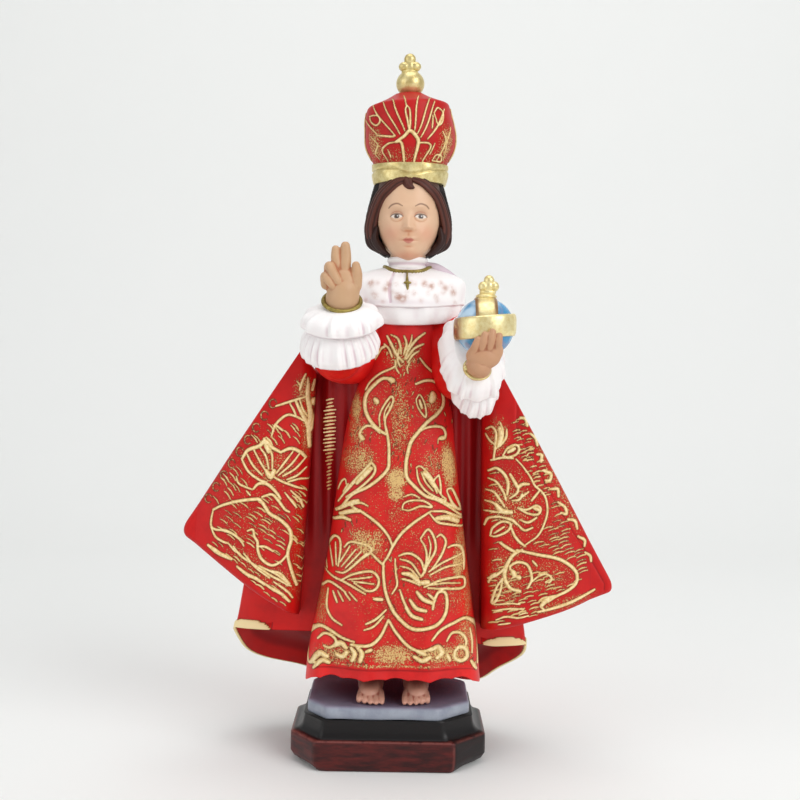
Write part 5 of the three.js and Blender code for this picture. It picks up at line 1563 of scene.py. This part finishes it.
@dataclass
class Hands:
    """The blessing hand and the hand that holds the orb."""

    grain: float = 0.26

    def build(self) -> None:
        """Builds both hands as one smooth skin each."""
        for name, look, wrist, flat, palm, sides, pace, fingers in (
            ("blessing_hand", Look.SOFT_SHADE_HAND,
             [(-14.9, -21, 122, 3.8), (-14.6, -26, 130, 4.3), (-14.4, -27.6, 133.0, 4.6),
              (-14.0, -28.2, 136.1, 4.5)], 0.9,
             (((-14.1, -28.4, 138.1), (4.5, 3.2, 4.6), 40),
              ((-11.3, -28.6, 138.0), (2.1, 2.3, 4.0), 32)),
             24, 0.5,
             ([(-13.8, -28.6, 141.3, 1.75), (-13.5, -28.8, 145.4, 1.55), (-13.6, -29, 148.4, 1.3)],
              [(-15.5, -28.6, 141.9, 1.55), (-16.2, -28.9, 145.0, 1.35), (-16.3, -29, 147.5, 1.1)],
              [(-10.8, -28.8, 137.7, 1.9), (-10.4, -29.6, 140.7, 1.6), (-10.6, -30, 143.1, 1.15)],
              [(-17.9, -27.8, 140.4, 1.6), (-17.9, -29.8, 142.8, 1.4), (-16.8, -31, 140.8, 1.35),
               (-15.5, -31.2, 138.7, 1.15)],
              [(-18.8, -28, 137.9, 1.5), (-19.1, -29.8, 140.1, 1.25), (-18.1, -31, 138.9, 1.2),
               (-16.9, -31, 137.4, 1.0)])),
            ("holding_hand", Look.DEEP_SHADE_HAND,
             [(21.4, -26, 113, 3.2), (21.8, -31, 114.4, 3.2), (23.0, -36.5, 116.0, 3.5)], 0.85,
             (((24.1, -37.6, 118.8), (4.7, 2.8, 3.5), 40),
              ((26.5, -37.6, 120.3), (2.9, 2.4, 3.2), 32)),
             20, 0.4,
             ([(21.2, -38.6, 119.6, 1.2), (21.8, -40, 121.7, 1.05), (22.4, -40.2, 123.2, 0.9)],
              [(23.2, -38.8, 120.3, 1.25), (23.8, -40.3, 122.7, 1.1), (24.2, -40.4, 124.5, 0.95)],
              [(25.4, -38.8, 120.6, 1.25), (25.9, -40.3, 123.3, 1.1), (26.2, -40.4, 125.3, 0.95)],
              [(27.7, -38.4, 120.3, 1.2), (27.9, -39.8, 122.7, 1.05), (28.1, -39.9, 124.3, 0.9)])),
        ):
            clay = Clay()
            clay.limb(wrist, 32, 0.8, flat)
            for lump in palm:
                clay.ball(*lump)
            for finger in fingers:
                clay.limb(finger, sides, pace)
            self.skin(clay, name, look)

    def skin(self, clay: Clay, name: str, look: Look) -> bpy.types.Object:
        """Runs one skin over joined lumps and softens it.

        Args:
            clay: The lumps.
            name: The piece's name.
            look: Its finish.

        Returns:
            The piece.
        """
        rough = clay.piece(name)
        remesh = rough.modifiers.new("skin", "REMESH")
        remesh.mode = "VOXEL"
        remesh.voxel_size = self.grain * MM
        remesh.use_smooth_shade = True
        soften = rough.modifiers.new("soften", "SMOOTH")
        soften.factor = 0.5
        soften.iterations = 3
        graph = bpy.context.evaluated_depsgraph_get()
        mesh = bpy.data.meshes.new_from_object(rough.evaluated_get(graph))
        rough.modifiers.clear()
        rough.data = mesh
        settle(rough, look, (14, 0.2))
        return rough


@dataclass
class Orb:
    """The globe with its two gilt bands and a small three-lobed cross."""

    at: tuple = (24.9, -30.0, 126.8)
    reach: float = 8.0
    band_half: float = 3.0

    def band(self, clay: Clay, level: bool, proud: float) -> None:
        """Adds one band round the globe.

        Args:
            clay: The piece.
            level: Whether it lies level, or stands upright.
            proud: How far it stands out.
        """
        inner, outer, half = self.reach - 0.4, self.reach + proud, self.band_half
        profile = [(inner, -half)] + [
            (outer - 0.35 * abs(k) ** 6 - 0.12 * k * k, half * k) for k in np.linspace(-1, 1, 13)
        ] + [(inner, half)]
        rings = [[(r * c, r * s, h + 0.09 * r * c) if level else (h, r * s, r * c)
                  for r, h in profile]
                 for c, s in ((math.cos(a), math.sin(a)) for a in turns(140))]
        clay.hoop(np.array(rings) + self.at)

    def build(self) -> None:
        """Builds and dresses the orb."""
        clay = Clay()
        clay.ball(self.at, (self.reach,) * 3, 96)
        settle(clay.piece("globe"), Look.GLOBE)
        clay = Clay()
        self.band(clay, True, 0.6)
        # A painted red reflection of the robe on the level band's left end.
        clay.masks[-1] = {"stain": step(-6.0, -8.0, clay.points[-1][:, 0] - self.at[0])}
        self.band(clay, False, 0.3)
        x, y, z = self.at
        top = z + self.reach
        clay.ball((x + 0.2, y, top + 0.3), (2.9, 2.7, 1.0), 36)
        for side, high, wide, tall in ((0.9, 4.6, 1.5, 1.6), (-0.5, 3.0, 1.55, 1.5),
                                       (2.2, 3.1, 1.5, 1.5), (0.8, 3.1, 1.7, 2.2),
                                       (0.6, 1.5, 2.3, 1.2)):
            clay.ball((x + side, y, top + high), (wide, 1.5, tall), 28)
        settle(clay.piece("orb_bands"), Look.PALE_GOLD, (5, 0.3))


@dataclass
class Head:
    """A calm child's face of plain proportions, with painted features, and the neck."""

    x: float = 3.7
    y: float = -1.6
    chin: float = 147.4
    face: float = 23.0
    mouth_rise: float = 4.7
    tip_rise: float = 8.2
    eye_apart: float = 3.5
    eye_level: float = 158.9
    # Shares of the face's height, and at each its half width or the reach of its front
    wide: tuple = ((-0.06, 1.6), (0, 3.7), (0.12, 6.5), (0.35, 9.0), (0.6, 9.5), (1, 8.8),
                   (1.15, 7.6))
    front: tuple = ((-0.06, 5.6), (0, 8), (0.12, 9.6), (0.35, 10.4), (0.6, 10.2), (0.8, 9.8),
                    (0.9, 9.2), (1, 8.2), (1.15, 6))
    # Heights, and at each how far from the middle the painted hair starts
    hairline: tuple = ((147, 10.8), (157, 9.7), (160.7, 8.9), (163.6, 7.8), (165.2, 6.8),
                       (166.6, 5.4), (167.6, 3.9), (168.4, 1.9), (169.2, 0))

    def carve(self, x: Array, z: Array) -> Array:
        """Carves the features.

        Args:
            x: The x of each point of the face.
            z: The z of each point.

        Returns:
            How far each point stands forward.
        """
        lift = np.zeros_like(x)
        mouth, tip = self.chin + self.mouth_rise, self.chin + self.tip_rise
        eye, level = self.eye_apart, self.eye_level
        for amount, across, height, wide, tall in (
            (-0.95, eye, level + 0.3, 2.4, 1.7), (0.34, eye, level + 2.9, 2.6, 0.8),
            (0.75, 4.8, self.chin + 6.4, 2.6, 2.4), (0.55, 1.25, tip - 0.25, 0.62, 0.62),
            (-0.12, 2.6, mouth, 0.7, 0.8), (0.6, 0, tip, 1.1, 0.9),
            (0.62, 0, mouth + 0.55, 1.9, 0.55), (0.72, 0, mouth - 0.75, 1.5, 0.62),
            (-0.42, 0, mouth - 0.02, 2.1, 0.22),
            (-0.16, 0, mouth + 1.6, 0.4, 0.7), (-0.3, 0, mouth - 1.9, 1.5, 0.6),
            (0.6, 0, self.chin + 1.6, 2.0, 1.5),
        ):
            for side in (-1, 1) if across else (1,):
                lift += amount * bell(x, z, (side * across, height), (wide, tall))
        for side in (-eye, eye):
            ball = 1 - ((x - side) / 1.75) ** 2 - ((z - level) / 1.3) ** 2
            lift += 0.75 * np.sqrt(np.clip(ball, 0, 1))
        ridge = step(tip + 6.4, tip + 0.5, z) * step(tip - 1.1, tip - 0.1, z)
        return lift + (0.55 + 1.35 * ridge) * ridge * np.exp(-(x / (1.0 + 0.35 * ridge)) ** 2)

    def paint(self, x: Array, z: Array, front: Array) -> dict[str, Array]:
        """Paints the features.

        Args:
            x: The x of each point of the face.
            z: The z of each point.
            front: How far each point faces forward.

        Returns:
            The painted masks.
        """
        mouth, level = self.chin + self.mouth_rise, self.eye_level
        masks = {name: np.zeros_like(x) for name in
                 ("blush", "lid", "lip", "white", "iris", "dark", "brow", "hair", "glint")}
        lines, brows, creases = Relief(x, z), Relief(x, z), Relief(x, z)
        for side in (-1, 1):
            eye = side * self.eye_apart
            u, v = (x - eye) / 1.7, z - level
            round_part = np.clip(1 - u ** 2, 0, 1)
            opened = step(0.06, -0.1, v - 0.68 * np.sqrt(round_part)) * step(
                -0.08, 0.06, v + 0.56 * round_part) * (np.abs(u) < 1)
            ring = np.hypot(x - eye, v + 0.02)
            glint = 0.9 * step(0.24, 0.1, np.hypot(x - eye - 0.24, v - 0.18))
            for name, amount in (("white", 0.8), ("iris", step(0.82, 0.68, ring)),
                                 ("dark", step(0.46, 0.3, ring)), ("glint", glint)):
                masks[name] = np.maximum(masks[name], opened * amount)
            arc = [(eye + 1.8 * k, level + 0.02 + 0.72 * math.sqrt(max(0, 1 - k * k)))
                   for k in np.linspace(-1, 1, 9)]
            lines.line(arc, 0.34, 0, 0.4)
            creases.line([(px, pz + 0.6) for px, pz in arc], 0.26, 0, 0.3)
            brows.line([(side * 1.9, level + 3.0), (side * 3.4, level + 3.7),
                        (side * 5.0, level + 3.3), (side * 5.8, level + 2.5)], 0.4, 0, 0.3)
            masks["blush"] += 0.4 * bell(x, z, (side * 5.2, self.chin + 6.6), (2.6, 2.5))
            masks["lid"] += 0.35 * bell(x, z, (eye, level + 1.0), (1.9, 0.8))
        masks["blush"] += 0.5 * bell(x, z, (0, self.chin + 0.2), (5, 1.2))
        masks["brow"] = brows.gild * 0.8
        for name, amount in (("dark", lines.gild * 0.8), ("lid", creases.gild * 0.4),
                             ("lid", 0.5 * bell(x, z, (0, mouth), (1.4, 0.13)))):
            masks[name] = np.maximum(masks[name], amount)
        bow = mouth + 0.72 - 0.26 * np.exp(-(x / 0.4) ** 2) - 0.26 * x ** 2
        lower = mouth - 1.0 + 0.42 * x ** 2
        masks["lip"] = 0.75 * step(0.16, -0.16, z - bow) * step(-0.16, 0.16, z - lower) * step(
            1.8, 1.4, np.abs(x))
        masks["hair"] = step(-0.5, 0.5, np.abs(x) - through(self.hairline, z))
        made = {name: np.clip(values, 0, 1) * front for name, values in masks.items()}
        for amount in ((1 - front) * step(150, 153, z),
                       step(7.4, 8.2, np.abs(x)) * step(161, 163, z)):
            made["hair"] = np.maximum(made["hair"], amount)
        return made

    def build(self) -> None:
        """Builds and dresses the head and neck."""
        rings = []
        for share in np.linspace(-0.06, 1.15, 156):
            reach = (float(through(self.wide, share)), float(through(self.front, share)), 7.0)
            face, rear = (
                even(np.stack(oval(np.linspace(start, start + math.pi, fine), reach, 2.1), 1),
                     count)
                for start, fine, count in ((math.pi, 176, 176), (0.0, 40, 32)))
            flat = np.vstack([face, rear[1:-1]])
            rings.append(np.column_stack([flat, np.full(len(flat), self.chin + self.face * share)]))
        rings = np.array(rings)
        x, z = rings[..., 0], rings[..., 2]
        front = step(-1.0, -3.5, rings[..., 1])
        masks = self.paint(x, z, front)
        rings[..., 1] -= self.carve(x, z) * front
        clay = Clay()
        clay.loft(rings + [self.x, self.y, 0], masks)
        clay.limb([(self.x, -1.5, 139, 5.2), (self.x, -1.5, 145, 5.1), (self.x, -1.3, 151, 5.4)],
                  60, 0.8)
        settle(clay.piece("face"), Look.SKIN, (12, 0.3))


@dataclass
class Hair:
    """Bobbed hair in carved locks, with a small curl on the forehead."""

    x: float = 3.7
    low: float = 149.0
    high: float = 172.5
    locks: int = 15
    # Heights, and at each half the width
    wide: tuple = ((149, 6.8), (150.2, 8.9), (151.4, 10.5), (153.2, 11.9), (155, 12.4), (160, 12.3),
                   (166, 11.0), (172, 9.2))

    def build(self) -> None:
        """Builds and dresses the hair."""
        z, angle = skin_grid(self.low, self.high, 84, 310)
        reach = (through(self.wide, z), 4.0 + 2.6 * step(164, 168, z),
                 11.5 - 2.2 * step(152, 148, z) - 3.6 * step(162, 169.4, z))
        x, y = oval(angle, reach, 2.5)
        swirl = angle + 0.012 * (z - 150) * np.sign(np.cos(angle)) + 0.06 * np.sin(0.35 * z)
        grow = 1 + 0.035 * np.cos(self.locks * swirl) + 0.012 * np.cos(3 * self.locks * swirl + 1)
        grow += 0.006 * np.cos(7 * self.locks * swirl + 2)
        rings = np.stack([self.x + x * grow, 1.4 + y * grow, z], -1)
        rings[..., 2] -= 0.7 * np.abs(np.cos(self.locks / 2 * swirl)) * step(153, 148.4, z)
        clay = Clay()
        clay.loft(turned_in(rings, (self.x, 1.4), ((np.array([0.72, 0.8]), 1.6),)))
        for side in (-1, 1):
            # Red-brown on the front locks, fading towards the back: partly their own colour, partly
            # a painted highlight.
            for shift, rear, warm in ((0, 0, 0.9), (0.5, 1.2, 0.5), (0.6, 3.0, 0.1)):
                clay.limb([
                    (self.x + side * (across + shift), deep + rear, height + shift * 0.8, size)
                    for across, deep, height, size in (
                        (1.2, -9.9, 169.6, 0.9), (3.6, -9.9, 168.7, 1.2), (5.8, -9.2, 167.0, 1.35),
                        (7.9, -7.5, 164.8, 1.4), (9.7, -5.4, 161, 1.4), (10.8, -4, 156, 1.5),
                        (9.9, -3.8, 152.4, 1.5), (7.4, -4.0, 150.2, 0.7))
                ], 26, 0.45, 1.0, {"warm": warm}, 0.18, 5)
            for i in range(3):
                clay.limb([
                    (self.x + side * (11.2 - 0.9 * i), -2.4 - 1.3 * i, 158 - i, 0.8),
                    (self.x + side * (11.8 - 1.0 * i), -2.8 - 1.4 * i, 154.6 - i, 1.0),
                    (self.x + side * (11.2 - 1.6 * i), -3.4 - 1.1 * i, 151.4 - 0.7 * i, 0.9),
                    (self.x + side * (8.6 - 1.6 * i), -4.2 - 0.6 * i, 149.0 - 0.4 * i, 0.3),
                ], 16, 0.4, 1.0, {"warm": 0.2}, 0.12, 4)
        clay.limb([(3.0, -9.0, 170.4, 1.4), (3.2, -10.4, 169.0, 1.5), (3.9, -11.2, 167.8, 1.1),
                   (4.9, -11.5, 167.2, 0.4)], 24, 0.35, 0.7, {"warm": 0.8}, 0.14, 5)
        settle(clay.piece("hair"), Look.HAIR, (6, 0.2))


@dataclass
class Crown:
    """The flared red cap with gilt ribs, its gold band, the ball and the trefoil cross."""

    middle: float = 3.9
    core_y: float = 0.5
    cap_low: float = 173.4
    cap_high: float = 196.4
    band_low: float = 169.4
    band_high: float = 174.6
    girth: float = 12.4
    # Heights, and at each the radius
    wide: tuple = ((169, 10.2), (172, 10.6), (175.5, 11.1), (179, 12.7), (182, 13.4), (187, 13.1),
                   (191.4, 12.4), (192.2, 12.2), (192.7, 11.8), (193, 11), (194.8, 7.0),
                   (196.4, 4.2))

    def ring(self, z: Array, angle: Array, grow: Array | float) -> Array:
        """Places points of the crown.

        Args:
            z: The height of each point.
            angle: The angle of each point.
            grow: How far each point stands out from the cap's form.

        Returns:
            An array of rings by points by 3.
        """
        reach = through(self.wide, z) + grow
        rise = 0.5 * np.cos(angle) ** 2 * step(182, 174, z)
        x = reach * np.cos(angle)
        tilt = 0.066 * x * step(178, 191, z)
        y = reach * np.where(np.sin(angle) > 0, 0.92, 1.0) * np.sin(angle)
        return np.stack([self.middle + x - 0.8 * step(183, 191, z), self.core_y + y,
                         z + rise + tilt], -1)

    def cap(self) -> None:
        """Builds the red cap with its fan, arch and leaves."""
        z, angle = skin_grid(self.cap_low, self.cap_high, 98, 350)
        swing = np.mod(angle - math.pi / 2, 2 * math.pi) - math.pi
        across = np.sin(swing) * np.minimum(through(self.wide, z) / 12.2, 1)
        along = self.girth * np.where(np.abs(swing) < math.pi / 2, np.where(
            z > 192, np.arcsin(across), swing), swing)
        relief = Relief(along, z)
        relief.draw(CROWN_STROKES, 0.76)
        for side in (-1, 1):
            for k in range(9):
                place = side * (18 + 2.45 * k)
                relief.line([(place, 176.4), (place + 0.3 * side, 184),
                             (place + 0.8 * side, 191.4)], 0.6, 0.35, 0.6, gild=0.9)
        lift = relief.height * 1.1 * step(195.6, 194, z)
        gild = relief.gild * step(196, 194.6, z)
        flat = np.abs(along)
        dust = 0.62 * step(7, 11, flat) * step(16, 13, flat) * step(174, 178, z) * step(188, 182, z)
        dust = np.maximum(dust, 0.3 * step(180, 176, z))
        clay = Clay()
        clay.loft(self.ring(z, angle, lift), {
            "gild": gild, "dust": dust, "deep": np.full(z.shape, 0.42)})
        settle(clay.piece("crown_cap"), Look.EMBROIDERED, (5, 0.16))

    def build(self) -> None:
        """Builds and dresses the crown."""
        self.cap()
        clay = Clay()
        z, angle = skin_grid(self.band_low, self.band_high, 34, 300)
        along = (np.mod(angle - math.pi / 2, 2 * math.pi) - math.pi) * 11
        crease = 172.9 - 1.4 * np.exp(-(along / 4) ** 2) - 0.25 * np.sin(along * 0.3)
        puff = 0.25 * np.sin((z - self.band_low) / 5.8 * math.pi)
        puff -= 0.42 * np.exp(-((z - crease) / 0.35) ** 2)
        puff += 0.12 * np.sin(0.7 * along + z)
        band = self.ring(z, angle, 0.5 + puff)
        band[..., 2] += (0.55 * np.exp(-(along / 6) ** 2) - 0.25) * step(172, self.band_low, z)
        clay.loft(turned_in(band, (self.middle, self.core_y), ((0.93, 0.0),)))
        clay.ball((3.6, 0, 199.5), (4.2, 4.2, 3.9), 64)
        clay.ball((3.4, 0, 202.9), (2.5, 2.2, 0.7), 40)
        for x, z, wide, tall in ((1.9, 204.5, 1.85, 1.5), (4.9, 204.6, 1.85, 1.5),
                                 (3.4, 206.7, 1.75, 1.75), (3.4, 204.6, 1.9, 2.4)):
            clay.ball((x, 0, z), (wide, 1.5, tall), 34)
        settle(clay.piece("crown_gold"), Look.GOLD, (6, 0.3))


@dataclass
class Base:
    """The feet, the slab cast with them, and the lacquered plinth."""

    plinth_width: float = 57.0
    plinth_depth: float = 44.0
    plinth_cuts: tuple = (7.5, 9.5, 10)
    slab_width: float = 47.4
    slab_depth: float = 38.0
    slab_cuts: tuple = (6, 9, 8)
    slab_low: float = 14.3
    slab_thick: float = 3.5
    around: int = 300

    def feet(self) -> None:
        """Builds the two bare feet."""
        clay = Clay()
        for x, turn in ((-5.2, -0.3), (8.0, 0.3)):
            clay.limb([(x, -4, 31, 4.4), (x, -8, 23, 4.0), (x + turn, -13, 20.4, 3.1)],
                      32, 0.6, 0.9)
            for i in range(5):
                side = i - 2
                reach = 18.2 - 0.35 * abs(i - (1 if turn > 0 else 3)) ** 1.4
                clay.limb([(x + 1.3 * side, -12.5, 20.4, 1.3), (x + 1.62 * side, -15.8, 19.5, 0.95),
                           (x + 1.68 * side, -reach + 0.8, 18.9, 0.72)], 16, 0.4)
        made = Hands(0.3).skin(clay, "feet", Look.FEET)
        count = len(made.data.vertices)
        spots = np.empty(count * 3, np.float32)
        made.data.vertices.foreach_get("co", spots)
        y, z = spots.reshape(-1, 3).T[1:] / MM
        paint_mask(made.data, "shade", 0.85 * np.maximum(step(-14.5, -11, y), step(21.5, 24, z)))

    def octagon(self, width: float, depth: float, cuts: tuple, inset: float) -> Array:
        """Draws an oblong outline with cut corners.

        Args:
            width: How wide it is.
            depth: How deep it is.
            cuts: How much the corners take at left, at right and in depth.
            inset: How far it is drawn in.

        Returns:
            Its eight corners.
        """
        w, d = width / 2 - inset, depth / 2 - inset
        left, right, deep = cuts
        return np.array([(-w + left, -d), (w - right, -d), (w, -d + deep), (w, d - deep),
                         (w - right, d), (-w + left, d), (-w, d - deep), (-w, -d + deep)])

    def rounded(self, shape: tuple, radius: float, points: int) -> Array:
        """Rounds the corners of an oblong and spaces its points.

        Args:
            shape: The oblong, as in octagon.
            radius: How far from each corner the rounding starts.
            points: How many points to return.

        Returns:
            The points round the outline.
        """
        outline = self.octagon(*shape)
        made = []
        for at, before, after in zip(outline, np.roll(outline, 1, 0), np.roll(outline, -1, 0)):
            a, b = (at + (end - at) / np.linalg.norm(end - at) * radius for end in (before, after))
            made += [(1 - t) ** 2 * a + 2 * t * (1 - t) * at + t * t * b
                     for t in np.linspace(0, 1, 7)]
            made += [b + (after - b) * k for k in (0.25, 0.5, 0.75)]
        return even(np.array(made + made[:1]), points + 1)[:-1]

    def slab(self) -> None:
        """Builds the slab."""
        top = self.slab_low + self.slab_thick
        outline = self.rounded((self.slab_width, self.slab_depth, self.slab_cuts, 0), 1.2, 240)
        rings = []
        for height, inset in ((self.slab_low, 0.15), (self.slab_low + 0.3, 0), (top - 0.8, 0),
                              (top - 0.3, 0.2), (top, 0.7),
                              *((top + 0.02, k) for k in range(2, 17))):
            sag = 0.12 * np.sin(0.35 * outline[:, 0]) * (height < self.slab_low + 0.2)
            rings.append(np.column_stack([outline * [1 - inset / 24, 1 - inset / 20],
                                          height + sag]))
        made = np.array(rings)
        # Violet painted shade over the top, deeper near the feet, and a dark painted shadow by the
        # feet.
        away = np.hypot((made[..., 0] - 1.5) / 1.3, made[..., 1] + 4)
        flat = step(17.2, 17.8, made[..., 2])
        clay = Clay()
        clay.loft(made, {"shade": flat * (0.5 + 0.4 * step(18, 9, away)),
                         "dark": flat * 0.9 * step(15, 9, away)})
        settle(clay.piece("slab"), Look.STONE)

    def plinth(self) -> None:
        """Builds the lacquered plinth."""
        cut_left, cut_right, _ = self.plinth_cuts
        slab = (self.slab_width, self.slab_depth, self.slab_cuts, -0.9)
        head = self.rounded(slab, 0.9, self.around)
        rings, black, worn = [], [], []
        # Height, inset, share of the way to the slab's outline, black, and rubbed edge
        for height, inset, share, dark, rub in (
            (0, 0.9, 0, 0, 0), (0.2, 0.6, 0, 0, 0), (0.6, 0.35, 0, 0, 0), (1.4, 0.1, 0, 0, 0),
            (3, 0, 0, 0, 0), (7.8, 0, 0, 0, 0), (8.3, 0.02, 0, 0, 0.15), (8.55, 0.15, 0, 0, 1.0),
            (8.75, 0.4, 0, 0.1, 0.9), (8.95, 0.9, 0, 0.7, 0.1), (9.05, 1.2, 0, 1, 0),
            (9.15, 1.2, 0.12, 1, 0), (9.4, 1.2, 0.3, 1, 0), (10, 1.2, 0.55, 1, 0),
            (10.9, 1.2, 0.74, 1, 0), (12, 1.2, 0.88, 1, 0), (13, 1.2, 0.96, 1, 0),
            (13.6, 1.2, 1.0, 1, 0), (13.9, 1.2, 1.0, 1, 0), (14, 1.2, 0.97, 1, 0),
        ):
            block = (self.plinth_width, self.plinth_depth, self.plinth_cuts, inset)
            low = self.rounded(block, 0.9, self.around)
            x, y = low.T
            corner = 1.6 * step(2.6, 0, np.full(len(low), float(height))) * step(17, 25, np.abs(x))
            low = low * (1 - corner / 24)[:, None]
            x = low[:, 0]
            rings.append(np.column_stack([low + (head - low) * share, np.full(len(low), height)]))
            right = x - (self.plinth_width / 2 - cut_right - inset)
            left = x + self.plinth_width / 2 - cut_left - inset
            front = y < 0
            line = 0.8 * np.exp(-((right + 0.1) / 0.3) ** 2) * front * (share == 0)
            seam = 0.3 * np.exp(-(left / 0.3) ** 2) * front * (share == 0)
            rub = rub * np.where(right > 0, 0.3, 1) * front + 0.3 * rub
            black.append(np.maximum(dark, 0.92 * step(0.0, 0.5, right) * front))
            worn.append(np.clip(np.maximum(rub, np.maximum(line, seam)), 0, 1))
        clay = Clay()
        clay.loft(np.array(rings), {"black": np.array(black), "worn": np.array(worn)})
        settle(clay.piece("plinth_block"), Look.LACQUER, (), "plinth")

    def build(self) -> None:
        """Builds the feet, the slab and the plinth."""
        self.feet()
        self.slab()
        self.plinth()


@dataclass
class Studio:
    """The pale sweep, the soft lights and the camera."""

    lens: float = 51.75
    camera_at: tuple = (0.002, -0.345, 0.1175)
    pitch: float = 88.0
    roll: float = 0.9

    def sweep(self) -> None:
        """Builds a pale floor that curves up behind."""
        bend = 0.35
        profile = [(-1.2, 0.0), (bend, 0.0)] + [
            (bend + bend * math.sin(a), bend - bend * math.cos(a))
            for a in np.linspace(0.1, math.pi / 2, 14)] + [(2 * bend, 1.6)]
        verts = [(x, y, z) for y, z in profile for x in (-1.6, 1.6)]
        faces = [(2 * i, 2 * i + 1, 2 * i + 3, 2 * i + 2) for i in range(len(profile) - 1)]
        mesh = bpy.data.meshes.new("studio_sweep")
        mesh.from_pydata(verts, [], faces)
        mesh.polygons.foreach_set("use_smooth", [True] * len(faces))
        floor = bpy.data.objects.new("studio_sweep", mesh)
        bpy.context.scene.collection.objects.link(floor)
        mesh.materials.append(Look.FLOOR.value.material())

    def light(self, name: str, at: tuple, aim: tuple, size: float, power: float) -> None:
        """Adds one soft square light.

        Args:
            name: Its name.
            at: Where it hangs, in metres.
            aim: The point that it faces.
            size: The length of its side.
            power: Its power in watts.
        """
        data = bpy.data.lights.new(name, "AREA")
        data.size = size
        data.energy = power
        lamp = bpy.data.objects.new(name, data)
        lamp.location = at
        way = np.array(aim) - np.array(at)
        lamp.rotation_euler = Vector(way).to_track_quat("-Z", "Y").to_euler()
        bpy.context.scene.collection.objects.link(lamp)

    def build(self) -> None:
        """Builds the sweep, lights, world and camera."""
        self.sweep()
        self.light("window", (0.75, -0.75, 0.6), (0, 0, 0.1), 0.7, 6.6)
        self.light("fill", (-0.9, -0.6, 0.4), (0, 0, 0.1), 0.9, 3.2)
        self.light("overhead", (0.0, -0.1, 1.1), (0, 0, 0.1), 0.8, 4.2)
        world = bpy.data.worlds.new("studio")
        world.use_nodes = True
        world.node_tree.nodes["Background"].inputs[0].default_value = (0.9, 0.92, 0.94, 1)
        world.node_tree.nodes["Background"].inputs[1].default_value = 0.42
        bpy.context.scene.world = world
        data = bpy.data.cameras.new("camera")
        data.sensor_width = 36.0
        data.lens = self.lens
        camera = bpy.data.objects.new("camera", data)
        camera.matrix_world = (
            Matrix.Translation(self.camera_at)
            @ Matrix.Rotation(math.radians(self.pitch), 4, "X")
            @ Matrix.Rotation(math.radians(self.roll), 4, "Z")
        )
        bpy.context.scene.collection.objects.link(camera)
        bpy.context.scene.camera = camera
        bpy.context.scene.view_settings.view_transform = "Standard"


def main() -> None:
    """Builds the statuette from its base up, then the studio."""
    logging.basicConfig(level=logging.INFO, format="%(message)s")
    Studio().build()
    Base().build()
    Robe().build()
    Mantle().build()
    Wing("mantle_left_panel", -1, (-22.6, 113), (-27, 41.7), (-26.8, 119.8), (-61.8, 66.4), 0.0,
         0.5, 0.07).build(left_embroidery)
    Wing("mantle_right_panel", 1, (26, 108), (27, 38.4), (31, 114.2), (66.2, 51), 0.0,
         0.7, 0.065).build(right_embroidery)
    Sleeves().build()
    Collar().build()
    Hands().build()
    Orb().build()
    Head().build()
    Hair().build()
    Crown().build()


if __name__ == "__main__":
    main()
